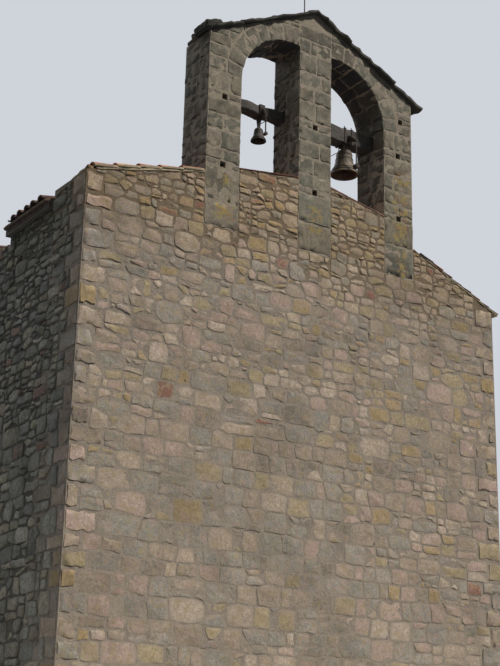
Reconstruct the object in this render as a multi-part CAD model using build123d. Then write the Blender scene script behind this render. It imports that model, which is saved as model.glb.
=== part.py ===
from build123d import *
from math import cos, radians, tan
import os

# A rubble-stone gable block that carries a bell gable with two arched openings and two bells.
# Millimetres, Z up. The front face looks along -Y. The origin is on the ground, in the middle
# of the footprint.

# Walls of the block: the heights of its other lines are measured from the head of the right wall
wall_width = 8000
block_depth = 6000
front_wall_thickness = 1000
side_wall_thickness = 800
rear_wall_thickness = 600
right_wall_head = 8450
left_wall_head_rise = 480
left_rake_foot_rise = 880
right_rake_foot_rise = 390
left_rake_angle = 14.0
right_rake_angle = 22.2

# Roof of the block
roof_thickness = 120
roof_drop = 150
eave_overhang = 150
eave_course_width = 450
eave_course_projection = 90
left_eave_front_length = 1500
left_eave_gap = 1100
verge_thickness = 70
right_verge_thickness = 36
verge_corner_gap = 130
ridge_tile_radius = 125
ridge_tile_wall = 22
rear_verge_overhang = 80

# Bell gable: pier foot over the right wall's head, springing over the pier foot, rakes over the arch rings
bell_gable_offset = 90
bell_gable_thickness = 710
outer_pier_width = 620
middle_pier_width = 650
opening_width = 1150
pier_foot_rise = 550
springing_rise = 2620
arch_radius = 1000
ring_depth = 300
ring_cover = 16.4
gable_angle = 26.2

# Sills of the openings, over the pier foot
sill_thickness = 30
left_sill_outer_rise = 1080
left_sill_inner_rise = 1250
right_sill_outer_rise = 1030
right_sill_inner_rise = 1250

# Putlog holes, which run through the piers: one over the pier foot, one under the springing,
# and one over the springing beside the right arch
putlog_size = 100
low_putlog_rise = 1050
putlog_drop = 410
high_putlog_rise = 250
high_putlog_inset = 245

# Cap of lapped stone slabs
cap_thickness = 70
cap_lap_step = 22
cap_laps = 5
cap_side_overhang = 80
cap_end_overhang = 160
left_end_overhang = 290
left_end_slab_thickness = 170
missing_slab_length = 520
apex_slab_length = 420
apex_slab_thickness = 60

# Lightning rod on the apex
rod_diameter = 20
rod_height = 1200
rod_foot_radius = 32
rod_set_back = 330

# Bell beams: their width along X comes from the opening, their height from the springing
beam_bearing = 150
beam_socket_clearance = 35
small_beam_height = 180
small_beam_depth = 190
small_beam_drop = 240
small_beam_set_back = 440
large_beam_height = 270
large_beam_depth = 250
large_beam_drop = 290
large_beam_set_back = 320

# Bells: place of each from the middle pier, drop of its lip under the beam, and its own sizes
small_bell_inset = 435
small_bell_lip_drop = 435
small_bell_mouth_radius = 130
small_bell_height = 225
small_bell_wall = 12
small_crown_gap = 25
large_bell_inset = 642
large_bell_lip_drop = 540
large_bell_mouth_radius = 240
large_bell_height = 440
large_bell_wall = 22

# Profile of both bells from lip to shoulder, as shares of mouth radius and height
bell_outside = ((1.0, 0.0), (0.94, 0.09), (0.74, 0.34), (0.60, 0.66), (0.55, 0.86))
bell_shoulder = (0.48, 0.965)
bell_crown_radius = 0.30
bell_inside_shoulder = (0.49, 0.84)
bell_lip_wall = 1.3
bell_crown_wall = 1.3
bell_waist_wall = 0.9

# Raised bands round a bell: height of the foot, width, and how far it stands out, as the same shares
bell_bands = ((0.10, 0.022, 0.030), (0.20, 0.016, 0.022), (0.62, 0.014, 0.020), (0.80, 0.022, 0.026))
band_chamfer = 0.25

# Crown of a bell, as shares of the mouth radius; the large one has crossed plates with an eye at each end
crown_stub_width = 0.32
crown_stub_depth = 0.40
crown_plate_reach = 0.42
crown_plate_thickness = 0.10
crown_eye_radius = 0.065
large_crown_angles = (45, 135)

# Lugs and pin inside the crown, which carry the clapper
pin_drop = 18
lug_foot_share = 0.8
clapper_ball_rise = 0.9
clapper_stem_radius = 6.5
clapper_tail_length = 1.2
clapper_tail_radius = 0.3

# Iron work
strap_thickness = 8
large_strap_width = 36
large_strap_spacing = 150
strap_bolt_diameter = 16
strap_bolt_height = 45
strap_bolt_inset = 30
small_strap_width = 100
hanger_foot_width = 44
hanger_thickness = 24
crown_bar_diameter = 12
small_crown_bar_offset = 20
small_crown_bar_reach = 330
large_crown_bar_reach = 340
tie_rod_diameter = 16
running_gap = 0.5
pin_diameter = 14
eye_wall = 5
cheek_gap = 1
hammer_arm_width = 16
hammer_cheek_thickness = 8
bracket_plate_width = 80
bracket_plate_height = 120
small_bracket_rise = 130
large_bracket_rise = 150
large_hammer_reach = 200
large_hammer_pivot_drop = 30
large_hammer_head_height = 45
large_hammer_head_radius = 45
large_hammer_head_length = 90
hammer_head_chamfer = 0.15
small_hammer_reach = 105
small_hammer_pivot_drop = 50
small_hammer_head_height = 60
small_hammer_head_radius = 30
small_hammer_head_length = 60
large_clapper_ball_radius = 42
small_clapper_ball_radius = 22

# Planes of the block, worked out from the sizes above
left_face = -wall_width / 2
right_face = wall_width / 2
front_face = -block_depth / 2
rear_face = block_depth / 2
roof_rear = rear_face + rear_verge_overhang
roof_front = front_face + front_wall_thickness
rear_wall_front = rear_face - rear_wall_thickness
left_wall_head = right_wall_head + left_wall_head_rise
left_rake_foot = right_wall_head + left_rake_foot_rise
right_rake_foot = right_wall_head + right_rake_foot_rise
left_slope = tan(radians(left_rake_angle))
right_slope = tan(radians(right_rake_angle))
foot_difference = right_rake_foot - left_rake_foot
ridge_x = left_face + (foot_difference + wall_width * right_slope) / (left_slope + right_slope)

# Planes of the bell gable
pier_foot_height = right_wall_head + pier_foot_rise
springing_height = pier_foot_height + springing_rise
left_sill_outer_height = pier_foot_height + left_sill_outer_rise
left_sill_inner_height = pier_foot_height + left_sill_inner_rise
right_sill_outer_height = pier_foot_height + right_sill_outer_rise
right_sill_inner_height = pier_foot_height + right_sill_inner_rise
putlog_heights = (pier_foot_height + low_putlog_rise, springing_height - putlog_drop)
high_putlog_height = springing_height + high_putlog_rise
gable_rear = front_face + bell_gable_thickness
gable_middle = (front_face + gable_rear) / 2
middle_left = bell_gable_offset - middle_pier_width / 2
middle_right = bell_gable_offset + middle_pier_width / 2
left_jamb = middle_left - opening_width
right_jamb = middle_right + opening_width
gable_left = left_jamb - outer_pier_width
gable_right = right_jamb + outer_pier_width
gable_slope = tan(radians(gable_angle))
ring_clearance = (arch_radius + ring_depth + ring_cover) / cos(radians(gable_angle))
apex_height = springing_height + (right_jamb - arch_radius - bell_gable_offset) * gable_slope + ring_clearance

# Places of the beams and bells
small_beam_underside = springing_height - small_beam_drop
large_beam_underside = springing_height - large_beam_drop
small_beam_front = front_face + small_beam_set_back
large_beam_front = front_face + large_beam_set_back
small_bell_x = middle_left - small_bell_inset
large_bell_x = middle_right + large_bell_inset
small_bell_y = small_beam_front + small_beam_depth / 2
large_bell_y = large_beam_front + large_beam_depth / 2
small_bell_lip_height = small_beam_underside - small_bell_lip_drop
large_bell_lip_height = large_beam_underside - large_bell_lip_drop
small_hanger_foot = small_bell_lip_height + small_bell_height + small_crown_gap
large_crown_middle = (large_bell_lip_height + large_bell_height + large_beam_underside) / 2


def rake_height(x):
    """Height of the front wall's raking top at x."""
    if x <= ridge_x:
        return left_rake_foot + (x - left_face) * left_slope
    return right_rake_foot + (right_face - x) * right_slope


def roof_underside(x):
    """Height of the underside of the roof at x."""
    return rake_height(x) - roof_drop


def gable_top(x):
    """Height of the bell gable's masonry under the cap at x."""
    return apex_height - abs(x - bell_gable_offset) * gable_slope


def block(x0, x1, y0, y1, z0, z1):
    """Box between two corners."""
    return Pos((x0 + x1) / 2, (y0 + y1) / 2, (z0 + z1) / 2) * Box(x1 - x0, y1 - y0, z1 - z0)


def prism(outline, y0, y1):
    """Solid with an outline in X and Z that runs from y0 to y1."""
    face = make_face(Polyline(*[(x, 0, z) for x, z in outline], close=True))
    return Pos(0, y0, 0) * extrude(face, amount=y1 - y0, dir=(0, 1, 0))


def disc(x, z, radius, y0, y1):
    """Round solid along Y."""
    return Pos(x, (y0 + y1) / 2, z) * Rot(90, 0, 0) * Cylinder(radius, y1 - y0)


def rod_between(a, b, diameter):
    """Round bar from point a to point b."""
    start, end = Vector(*a), Vector(*b)
    plane = Plane(origin=start, z_dir=end - start)
    return extrude(plane * Circle(diameter / 2), amount=(end - start).length)


def one(shape):
    """The single solid of a boolean result."""
    solids = shape.solids()
    return solids[0] if len(solids) == 1 else Compound(children=list(solids))


# Beams, and the sockets that they rest in
def beam_form(x0, x1, front, depth, underside, height, clearance):
    """Form of a beam from jamb to jamb, with a clearance on all sides but the one it rests on."""
    return block(x0 - beam_bearing, x1 + beam_bearing, front - clearance, front + depth + clearance,
                 underside, underside + height + clearance)


def small_beam(clearance=0):
    return beam_form(left_jamb, middle_left, small_beam_front, small_beam_depth, small_beam_underside,
                     small_beam_height, clearance)


def large_beam(clearance=0):
    return beam_form(middle_right, right_jamb, large_beam_front, large_beam_depth, large_beam_underside,
                     large_beam_height, clearance)


# Bell gable masonry
def putlog(pier_x, height):
    half = putlog_size / 2
    return block(pier_x - half, pier_x + half, front_face - 1, gable_rear + 1, height - half, height + half)


def pier(x0, x1, top_outline):
    """Pier with its through holes and beam sockets."""
    body = prism([(x0, pier_foot_height), (x1, pier_foot_height)] + top_outline, front_face, gable_rear)
    for height in putlog_heights:
        body -= putlog((x0 + x1) / 2, height)
    return one(body - small_beam(beam_socket_clearance) - large_beam(beam_socket_clearance))


def left_pier():
    return pier(gable_left, left_jamb, [(left_jamb, springing_height), (gable_left, springing_height)])


def right_pier():
    return pier(right_jamb, gable_right, [(gable_right, springing_height), (right_jamb, springing_height)])


def middle_pier():
    top = [(middle_right, gable_top(middle_right)), (bell_gable_offset, apex_height),
           (middle_left, gable_top(middle_left))]
    return pier(middle_left, middle_right, top)


def head_quarter(side):
    """Masonry over one opening, from the outer face to the middle pier, side -1 left and 1 right."""
    outer = gable_left if side < 0 else gable_right
    inner = middle_left if side < 0 else middle_right
    return prism([(outer, springing_height), (inner, springing_height), (inner, gable_top(inner)),
                  (outer, gable_top(outer))], front_face, gable_rear)


def arch_disc(side, radius, margin=0):
    """Round form of one arch, whose centre lies beside the middle pier."""
    centre = left_jamb + arch_radius if side < 0 else right_jamb - arch_radius
    return disc(centre, springing_height, radius, front_face - margin, gable_rear + margin)


def arch_ring(side):
    """Ring of voussoirs from the outer pier to the middle pier."""
    ring = arch_disc(side, arch_radius + ring_depth) & head_quarter(side)
    return one(ring - arch_disc(side, arch_radius, 1))


def spandrel(side):
    """Masonry between the ring of voussoirs and the cap; the right one has one more putlog hole."""
    body = head_quarter(side) - arch_disc(side, arch_radius + ring_depth, 1)
    if side > 0:
        body -= putlog(gable_right - high_putlog_inset, high_putlog_height)
    return one(body)


# Cap of the bell gable
def lapped_slabs(start, end, y0, y1, end_thickness=cap_thickness):
    """Course of slabs on one slope, each lapped over the one below, from its low end to its high end."""
    outline = [(start, gable_top(start)), (end, gable_top(end))]
    step = (end - start) / cap_laps
    top = []
    for lap in range(cap_laps):
        low, high = start + lap * step, start + (lap + 1) * step
        thickness = cap_thickness if lap else end_thickness
        top += [(low, gable_top(low) + thickness + cap_lap_step), (high, gable_top(high) + thickness)]
    return one(prism(outline + top[::-1], y0, y1))


def left_cap_front_row():
    """Front half of the left slope, which ends in a thick slab."""
    return lapped_slabs(gable_left - left_end_overhang, bell_gable_offset - apex_slab_length / 2,
                        front_face - cap_side_overhang, gable_middle, left_end_slab_thickness)


def left_cap_rear_row():
    """Rear half of the left slope, which has lost its lowest slab."""
    start = gable_left - cap_end_overhang + missing_slab_length
    return lapped_slabs(start, bell_gable_offset - apex_slab_length / 2, gable_middle,
                        gable_rear + cap_side_overhang)


def right_cap_slabs():
    return lapped_slabs(gable_right + cap_end_overhang, bell_gable_offset + apex_slab_length / 2,
                        front_face - cap_side_overhang, gable_rear + cap_side_overhang)


def apex_slab():
    """Slab that straddles the apex."""
    half = apex_slab_length / 2
    x0, x1 = bell_gable_offset - half, bell_gable_offset + half
    edge = gable_top(x0)
    outline = [(x0, edge), (bell_gable_offset, apex_height), (x1, edge), (x1, edge + cap_thickness),
               (bell_gable_offset + half / 2, apex_height + apex_slab_thickness),
               (bell_gable_offset - half / 2, apex_height + apex_slab_thickness), (x0, edge + cap_thickness)]
    return prism(outline, front_face - cap_side_overhang, gable_rear + cap_side_overhang)


def lightning_rod():
    """Slim rod with a round foot, on the apex slab."""
    foot_z = apex_height + apex_slab_thickness
    centre = Pos(bell_gable_offset, front_face + rod_set_back, 0)
    rod = centre * Pos(0, 0, foot_z + rod_height / 2) * Cylinder(rod_diameter / 2, rod_height)
    foot = centre * Pos(0, 0, foot_z + rod_diameter / 2) * Cylinder(rod_foot_radius, rod_diameter)
    return one(rod + foot)


# Walls and roof of the block
def front_gable_wall():
    """Front wall under the rakes and the sills, with slots for the pier shafts."""
    outline = [(left_face, 0), (right_face, 0), (right_face, right_rake_foot),
               (gable_right, rake_height(gable_right)), (right_jamb, rake_height(gable_right)),
               (right_jamb, right_sill_outer_height - sill_thickness),
               (middle_right, right_sill_inner_height - sill_thickness),
               (middle_left, left_sill_inner_height - sill_thickness),
               (left_jamb, left_sill_outer_height - sill_thickness),
               (left_jamb, rake_height(gable_left)), (gable_left, rake_height(gable_left)),
               (left_face, left_rake_foot)]
    wall = prism(outline, front_face, roof_front)
    for x0, x1 in ((gable_left, left_jamb), (middle_left, middle_right), (right_jamb, gable_right)):
        wall -= block(x0, x1, front_face, gable_rear, pier_foot_height, apex_height)
    return one(wall)


def sill(x0, x1, z0, z1):
    """Thin tile course on the wall under an opening."""
    return prism([(x0, z0 - sill_thickness), (x1, z1 - sill_thickness), (x1, z1), (x0, z0)],
                 front_face, gable_rear)


def side_wall(side):
    """Side wall between the front and rear walls, up to the roof, less the place of the eave course."""
    face = left_face if side < 0 else right_face
    head = left_wall_head if side < 0 else right_wall_head
    inner = face - side * side_wall_thickness
    notch = face - side * eave_course_width
    outline = [(face, 0), (inner, 0), (inner, roof_underside(inner)), (notch, roof_underside(notch)),
               (notch, head), (face, head)]
    return prism(outline, roof_front, rear_wall_front)


def eave_course(side):
    """Projecting course that carries the eave tiles; a stretch of the left one has fallen."""
    face = left_face if side < 0 else right_face
    head = left_wall_head if side < 0 else right_wall_head
    outer = face + side * eave_course_projection
    notch = face - side * eave_course_width
    outline = [(face, head), (notch, head), (notch, roof_underside(notch)), (outer, roof_underside(outer)),
               (outer, (roof_underside(outer) + head) / 2), (face, (roof_underside(outer) + head) / 2)]
    if side > 0:
        return prism(outline, roof_front, rear_wall_front)
    gap_start = roof_front + left_eave_front_length
    lengths = ((roof_front, gap_start), (gap_start + left_eave_gap, rear_wall_front))
    return Compound(children=[prism(outline, y0, y1) for y0, y1 in lengths])


def rear_party_wall():
    """Plain rear wall up to the roof."""
    outline = [(left_face, 0), (right_face, 0), (right_face, roof_underside(right_face)),
               (ridge_x, roof_underside(ridge_x)), (left_face, roof_underside(left_face))]
    return prism(outline, rear_wall_front, rear_face)


def roof_slab(x0, x1, y0, y1):
    """Piece of a roof slope, from the eave side to the ridge side."""
    z0, z1 = roof_underside(x0), roof_underside(x1)
    return prism([(x0, z0), (x1, z1), (x1, z1 + roof_thickness), (x0, z0 + roof_thickness)], y0, y1)


def left_roof_slope():
    """Left slope, which has lost its eave where the course under it has fallen."""
    gap_start = roof_front + left_eave_front_length
    slope = roof_slab(left_face - eave_overhang, ridge_x, roof_front, roof_rear)
    return one(slope - block(left_face - 2 * eave_overhang, left_face + eave_course_width, gap_start,
                             gap_start + left_eave_gap, 0, apex_height))


def right_roof_slope():
    return roof_slab(ridge_x, right_face + eave_overhang, roof_front, roof_rear)


def ridge_course():
    """Row of half-round ridge tiles."""
    z = roof_underside(ridge_x) + roof_thickness
    tile = disc(ridge_x, z, ridge_tile_radius, roof_front, roof_rear)
    tile -= disc(ridge_x, z, ridge_tile_radius - ridge_tile_wall, roof_front - 1, roof_rear + 1)
    reach = 2 * ridge_tile_radius
    below = prism([(ridge_x, z), (ridge_x - reach, z - reach * left_slope), (ridge_x - reach, z - reach),
                   (ridge_x + reach, z - reach), (ridge_x + reach, z - reach * right_slope)],
                  roof_front - 1, roof_rear + 1)
    return one(tile - below)


def rake_course(x0, x1, thickness):
    """Tile course on the front wall's rake from x0 to x1."""
    return prism([(x0, rake_height(x0)), (x1, rake_height(x1)), (x1, rake_height(x1) + thickness),
                  (x0, rake_height(x0) + thickness)], front_face, roof_front)


def left_verge():
    """Tile course on the front wall's left rake, short of the corner."""
    return rake_course(left_face + verge_corner_gap, gable_left, verge_thickness)


def right_verge():
    """Thin tile course on the front wall's right rake, out over the eave."""
    return rake_course(gable_right, right_face + eave_overhang, right_verge_thickness)


# Bells
def bell_band(radius, height, foot, width, out):
    """Raised band round a bell whose outline runs between the profile's points."""
    (r0, z0), (r1, z1) = [pair for pair in zip(bell_outside, bell_outside[1:]) if pair[0][1] <= foot][-1]
    here = r0 + (r1 - r0) * (foot - z0) / (z1 - z0)
    inner, outer = (here - out) * radius, (here + out) * radius
    low, high = foot * height, (foot + width) * height
    slant = band_chamfer * (high - low)
    with BuildPart() as band:
        with BuildSketch(Plane.XZ):
            with BuildLine():
                Polyline((inner, low), (outer, low + slant), (outer, high - slant), (inner, high),
                         close=True)
            make_face()
        revolve(axis=Axis.Z)
    return band.part


def crown_plate(radius, foot, top, angle):
    """Crown plate through the stub, with an eye on each side."""
    reach = crown_plate_reach * radius
    half = crown_plate_thickness * radius / 2
    plate = block(-reach, reach, -half, half, foot, top)
    eye = Rot(90, 0, 0) * Cylinder(crown_eye_radius * radius, 4 * half)
    for side in (-1, 1):
        eye_x = side * (crown_stub_depth * radius / 2 + reach) / 2
        plate -= Pos(eye_x, 0, (foot + top) / 2) * eye
    return Rot(0, 0, angle) * plate


def bell(x, y, lip_z, radius, height, wall, crown_z, crown_angles=()):
    """Bell with an open mouth, raised bands, a crown up to what carries it, and lugs with a clapper pin."""
    outer = [(r * radius, z * height) for r, z in bell_outside]
    shoulder = (bell_shoulder[0] * radius, bell_shoulder[1] * height)
    crown_edge = bell_crown_radius * radius
    top_inner = height - bell_crown_wall * wall
    (waist_r, waist_z), (flare_r, flare_z) = bell_outside[3], bell_outside[2]
    inner = [(bell_inside_shoulder[0] * radius, bell_inside_shoulder[1] * height),
             (waist_r * radius - bell_waist_wall * wall, waist_z * height - wall / 2),
             (flare_r * radius - wall, flare_z * height - wall / 2), (radius - bell_lip_wall * wall, 0)]
    with BuildPart() as body:
        with BuildSketch(Plane.XZ):
            with BuildLine():
                Spline(*outer)
                Spline(outer[-1], shoulder, (crown_edge, height))
                Polyline((crown_edge, height), (0, height), (0, top_inner), (crown_edge, top_inner),
                         inner[0])
                Spline(*inner)
                Line(inner[-1], outer[0])
            make_face()
        revolve(axis=Axis.Z)
    shape = body.part
    for foot, width, out in bell_bands:
        shape += bell_band(radius, height, foot, width, out)
    stub_top = crown_z - lip_z
    half_width, half_depth = crown_stub_width * radius / 2, crown_stub_depth * radius / 2
    shape += block(-half_width, half_width, -half_depth, half_depth, height - wall / 2, stub_top)
    for angle in crown_angles:
        shape += crown_plate(radius, height - wall / 2, stub_top - strap_thickness, angle)
    lug_inner = hammer_arm_width / 2 + running_gap
    lug_outer = lug_inner + hammer_cheek_thickness
    pin_z = top_inner - pin_drop
    lug_foot = pin_z - lug_foot_share * pin_diameter
    for x0, x1 in ((-lug_outer, -lug_inner), (lug_inner, lug_outer)):
        shape += block(x0, x1, -pin_diameter, pin_diameter, lug_foot, top_inner)
    shape += Pos(0, 0, pin_z) * Rot(0, 90, 0) * Cylinder(pin_diameter / 2, 2 * lug_outer)
    return Pos(x, y, lip_z) * one(shape), lip_z + pin_z


def clapper(x, y, pin_z, lip_z, ball_radius):
    """Clapper with an eye round the pin, a stem, a ball level with the lip and a short tail."""
    eye_outer = pin_diameter / 2 + running_gap + eye_wall
    ball_z = lip_z + clapper_ball_rise * ball_radius
    eye = Rot(0, 90, 0) * Cylinder(eye_outer, hammer_arm_width)
    stem_length = pin_z - ball_z
    stem = Pos(0, 0, -stem_length / 2) * Cylinder(clapper_stem_radius, stem_length)
    ball = Pos(0, 0, -stem_length) * Sphere(ball_radius)
    tail_length = clapper_tail_length * ball_radius
    tail = Pos(0, 0, -stem_length - tail_length) * Cylinder(clapper_tail_radius * ball_radius, tail_length)
    bore = Rot(0, 90, 0) * Cylinder(pin_diameter / 2 + running_gap, hammer_arm_width * 2)
    return Pos(x, y, pin_z) * one(eye + stem + ball + tail - bore)


# Straps, hanger and rods
def strap(x, y0, y1, z0, z1, width):
    """Iron band all round a beam."""
    t = strap_thickness
    band = block(x - width / 2, x + width / 2, y0 - t, y1 + t, z0 - t, z1 + t)
    return band - block(x - width, x + width, y0, y1, z0, z1)


def small_bell_hanger():
    """Band round the beam with a tapered plate down to the bell's crown."""
    band = strap(small_bell_x, small_beam_front, small_beam_front + small_beam_depth, small_beam_underside,
                 small_beam_underside + small_beam_height, small_strap_width)
    top = small_beam_underside - strap_thickness
    plate = extrude(make_face(Polyline((-small_strap_width / 2, 0, top), (small_strap_width / 2, 0, top),
                                       (hanger_foot_width / 2, 0, small_hanger_foot),
                                       (-hanger_foot_width / 2, 0, small_hanger_foot), close=True)),
                    amount=hanger_thickness, dir=(0, 1, 0))
    return one(band + Pos(small_bell_x, small_bell_y - hanger_thickness / 2, 0) * plate)


def large_bell_straps():
    """Two bands round the beam, each with two bolt ends that stand above it."""
    bands = []
    rear = large_beam_front + large_beam_depth
    beam_top = large_beam_underside + large_beam_height
    bolt = Cylinder(strap_bolt_diameter / 2, strap_bolt_height)
    bolt_z = beam_top + strap_thickness + strap_bolt_height / 2
    for side in (-1, 1):
        x = large_bell_x + side * large_strap_spacing / 2
        band = strap(x, large_beam_front, rear, large_beam_underside, beam_top, large_strap_width)
        for y in (large_beam_front + strap_bolt_inset, rear - strap_bolt_inset):
            band += Pos(x, y, bolt_z) * bolt
        bands.append(one(band))
    return Compound(children=bands)


def small_crown_bar():
    """Bar that stands out of the hanger towards the front."""
    z = small_hanger_foot + 2 * crown_bar_diameter
    y = small_bell_y - hanger_thickness / 2
    x = small_bell_x - small_crown_bar_offset
    return rod_between((x, y, z), (x, y - small_crown_bar_reach, z), crown_bar_diameter)


def large_crown_bar():
    """Bar that stands out of the crown stub towards the rear."""
    x, z = large_bell_x, large_crown_middle
    y = large_bell_y + crown_stub_depth * large_bell_mouth_radius / 2
    return rod_between((x, y, z), (x, y + large_crown_bar_reach, z), crown_bar_diameter)


def large_beam_tie():
    """Rod along the top of the large beam, from the middle pier to the first strap."""
    z = large_beam_underside + large_beam_height + tie_rod_diameter / 2
    y = large_beam_front + 2 * strap_bolt_inset + tie_rod_diameter
    end = large_bell_x - (large_strap_spacing + large_strap_width) / 2
    return rod_between((middle_right, y, z), (end, y, z), tie_rod_diameter)


# Hammers: each hangs from a pin between two cheeks in front of its beam
def hammer_bracket(x, seat, pivot_y, pivot_z, plate_top):
    """Back plate on its seat, the beam's face or a band on it, with two cheeks and a pin."""
    half_gap = hammer_arm_width / 2 + cheek_gap
    t = hammer_cheek_thickness
    half_plate = bracket_plate_width / 2
    plate_foot = plate_top - bracket_plate_height
    shape = block(x - half_plate, x + half_plate, seat - t, seat, plate_foot, plate_top)
    for side in (-1, 1):
        x0, x1 = sorted((x + side * half_gap, x + side * (half_gap + t)))
        profile = make_face(Polyline((0, seat - t, plate_top), (0, seat - t, plate_foot),
                                     (0, pivot_y - pin_diameter, pivot_z - pin_diameter),
                                     (0, pivot_y - pin_diameter, pivot_z + pin_diameter), close=True))
        shape += Pos(x0, 0, 0) * extrude(profile, amount=x1 - x0, dir=(1, 0, 0))
    pin_length = 2 * (half_gap + t)
    shape += Pos(x, pivot_y, pivot_z) * Rot(0, 90, 0) * Cylinder(pin_diameter / 2, pin_length)
    return one(shape)


def hammer(x, y, pivot_z, head_z, radius, length):
    """Arm with an eye round the pin and a round head that points at the bell's lip."""
    eye_outer = pin_diameter / 2 + running_gap + eye_wall
    drop = pivot_z - head_z
    half = hammer_arm_width / 2
    eye = Rot(0, 90, 0) * Cylinder(eye_outer, hammer_arm_width)
    arm = Pos(0, 0, -drop / 2) * Box(hammer_arm_width, hammer_arm_width, drop)
    head = Pos(0, 0, -drop) * Rot(90, 0, 0) * Cylinder(radius, length)
    head = chamfer(head.edges(), hammer_head_chamfer * min(radius, length))
    bore = Rot(0, 90, 0) * Cylinder(pin_diameter / 2 + running_gap, 4 * half)
    return Pos(x, y, pivot_z) * one(eye + arm + head - bore)


small_pivot_z = small_beam_underside - small_hammer_pivot_drop
large_pivot_z = large_beam_underside - large_hammer_pivot_drop
small_hammer_y = small_beam_front - small_hammer_reach
large_hammer_y = large_beam_front - large_hammer_reach

small_bell_solid, small_pin_z = bell(small_bell_x, small_bell_y, small_bell_lip_height,
                                     small_bell_mouth_radius, small_bell_height, small_bell_wall,
                                     small_hanger_foot)
large_bell_solid, large_pin_z = bell(large_bell_x, large_bell_y, large_bell_lip_height,
                                     large_bell_mouth_radius, large_bell_height, large_bell_wall,
                                     large_beam_underside, large_crown_angles)

parts = {
    "front_gable_wall": front_gable_wall(),
    "left_side_wall": side_wall(-1),
    "right_side_wall": side_wall(1),
    "rear_party_wall": rear_party_wall(),
    "left_eave_course": eave_course(-1),
    "right_eave_course": eave_course(1),
    "left_roof_slope": left_roof_slope(),
    "right_roof_slope": right_roof_slope(),
    "ridge_course": ridge_course(),
    "left_verge_course": left_verge(),
    "right_verge_course": right_verge(),
    "left_opening_sill": sill(left_jamb, middle_left, left_sill_outer_height, left_sill_inner_height),
    "right_opening_sill": sill(middle_right, right_jamb, right_sill_inner_height, right_sill_outer_height),
    "left_pier": left_pier(),
    "middle_pier": middle_pier(),
    "right_pier": right_pier(),
    "left_arch_ring": arch_ring(-1),
    "right_arch_ring": arch_ring(1),
    "left_spandrel": spandrel(-1),
    "right_spandrel": spandrel(1),
    "left_cap_front_row": left_cap_front_row(),
    "left_cap_rear_row": left_cap_rear_row(),
    "right_cap_slabs": right_cap_slabs(),
    "apex_cap_slab": apex_slab(),
    "lightning_rod": lightning_rod(),
    "small_bell_beam": small_beam(),
    "large_bell_beam": large_beam(),
    "small_bell_hanger": small_bell_hanger(),
    "large_bell_straps": large_bell_straps(),
    "small_crown_bar": small_crown_bar(),
    "large_crown_bar": large_crown_bar(),
    "large_beam_tie": large_beam_tie(),
    "small_bell": small_bell_solid,
    "large_bell": large_bell_solid,
    "small_bell_clapper": clapper(small_bell_x, small_bell_y, small_pin_z, small_bell_lip_height,
                                  small_clapper_ball_radius),
    "large_bell_clapper": clapper(large_bell_x, large_bell_y, large_pin_z, large_bell_lip_height,
                                  large_clapper_ball_radius),
    "small_hammer_bracket": hammer_bracket(small_bell_x, small_beam_front - strap_thickness, small_hammer_y,
                                           small_pivot_z, small_beam_underside + small_bracket_rise),
    "large_hammer_bracket": hammer_bracket(large_bell_x, large_beam_front, large_hammer_y, large_pivot_z,
                                           large_beam_underside + large_bracket_rise),
    "small_bell_hammer": hammer(small_bell_x, small_hammer_y, small_pivot_z,
                                small_bell_lip_height + small_hammer_head_height, small_hammer_head_radius,
                                small_hammer_head_length),
    "large_bell_hammer": hammer(large_bell_x, large_hammer_y, large_pivot_z,
                                large_bell_lip_height + large_hammer_head_height, large_hammer_head_radius,
                                large_hammer_head_length),
}

os.makedirs("parts", exist_ok=True)
for name, shape in parts.items():
    export_step(shape, f"parts/{name}.step")

print("clapper pins", round(small_pin_z, 1), round(large_pin_z, 1))
print("hammer pivots", small_hammer_y, small_pivot_z, large_hammer_y, large_pivot_z)
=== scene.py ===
import logging
import math
from dataclasses import dataclass, field, replace
from enum import Enum
from functools import lru_cache
from itertools import pairwise
from typing import Callable, Sequence

import bpy
import numpy as np
from mathutils import Matrix, Vector


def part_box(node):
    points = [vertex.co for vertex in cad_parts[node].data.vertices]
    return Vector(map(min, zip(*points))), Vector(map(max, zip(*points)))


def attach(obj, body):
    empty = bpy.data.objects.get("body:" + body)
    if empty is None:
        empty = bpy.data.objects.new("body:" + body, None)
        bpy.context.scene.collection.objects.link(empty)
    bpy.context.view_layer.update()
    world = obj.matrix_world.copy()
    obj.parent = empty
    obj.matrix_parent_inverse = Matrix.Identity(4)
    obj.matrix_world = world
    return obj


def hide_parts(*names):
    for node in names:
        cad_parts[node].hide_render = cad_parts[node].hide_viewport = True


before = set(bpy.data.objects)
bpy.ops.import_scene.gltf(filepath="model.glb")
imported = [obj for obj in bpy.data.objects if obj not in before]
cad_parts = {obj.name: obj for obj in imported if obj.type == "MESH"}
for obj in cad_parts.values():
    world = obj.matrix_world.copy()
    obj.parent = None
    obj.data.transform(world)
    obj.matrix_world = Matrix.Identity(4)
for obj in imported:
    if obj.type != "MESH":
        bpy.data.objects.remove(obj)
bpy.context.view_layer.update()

LOG = logging.getLogger("bell_tower")
MASONRY = "masonry"
PIERS = ("left_pier", "middle_pier", "right_pier")

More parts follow.
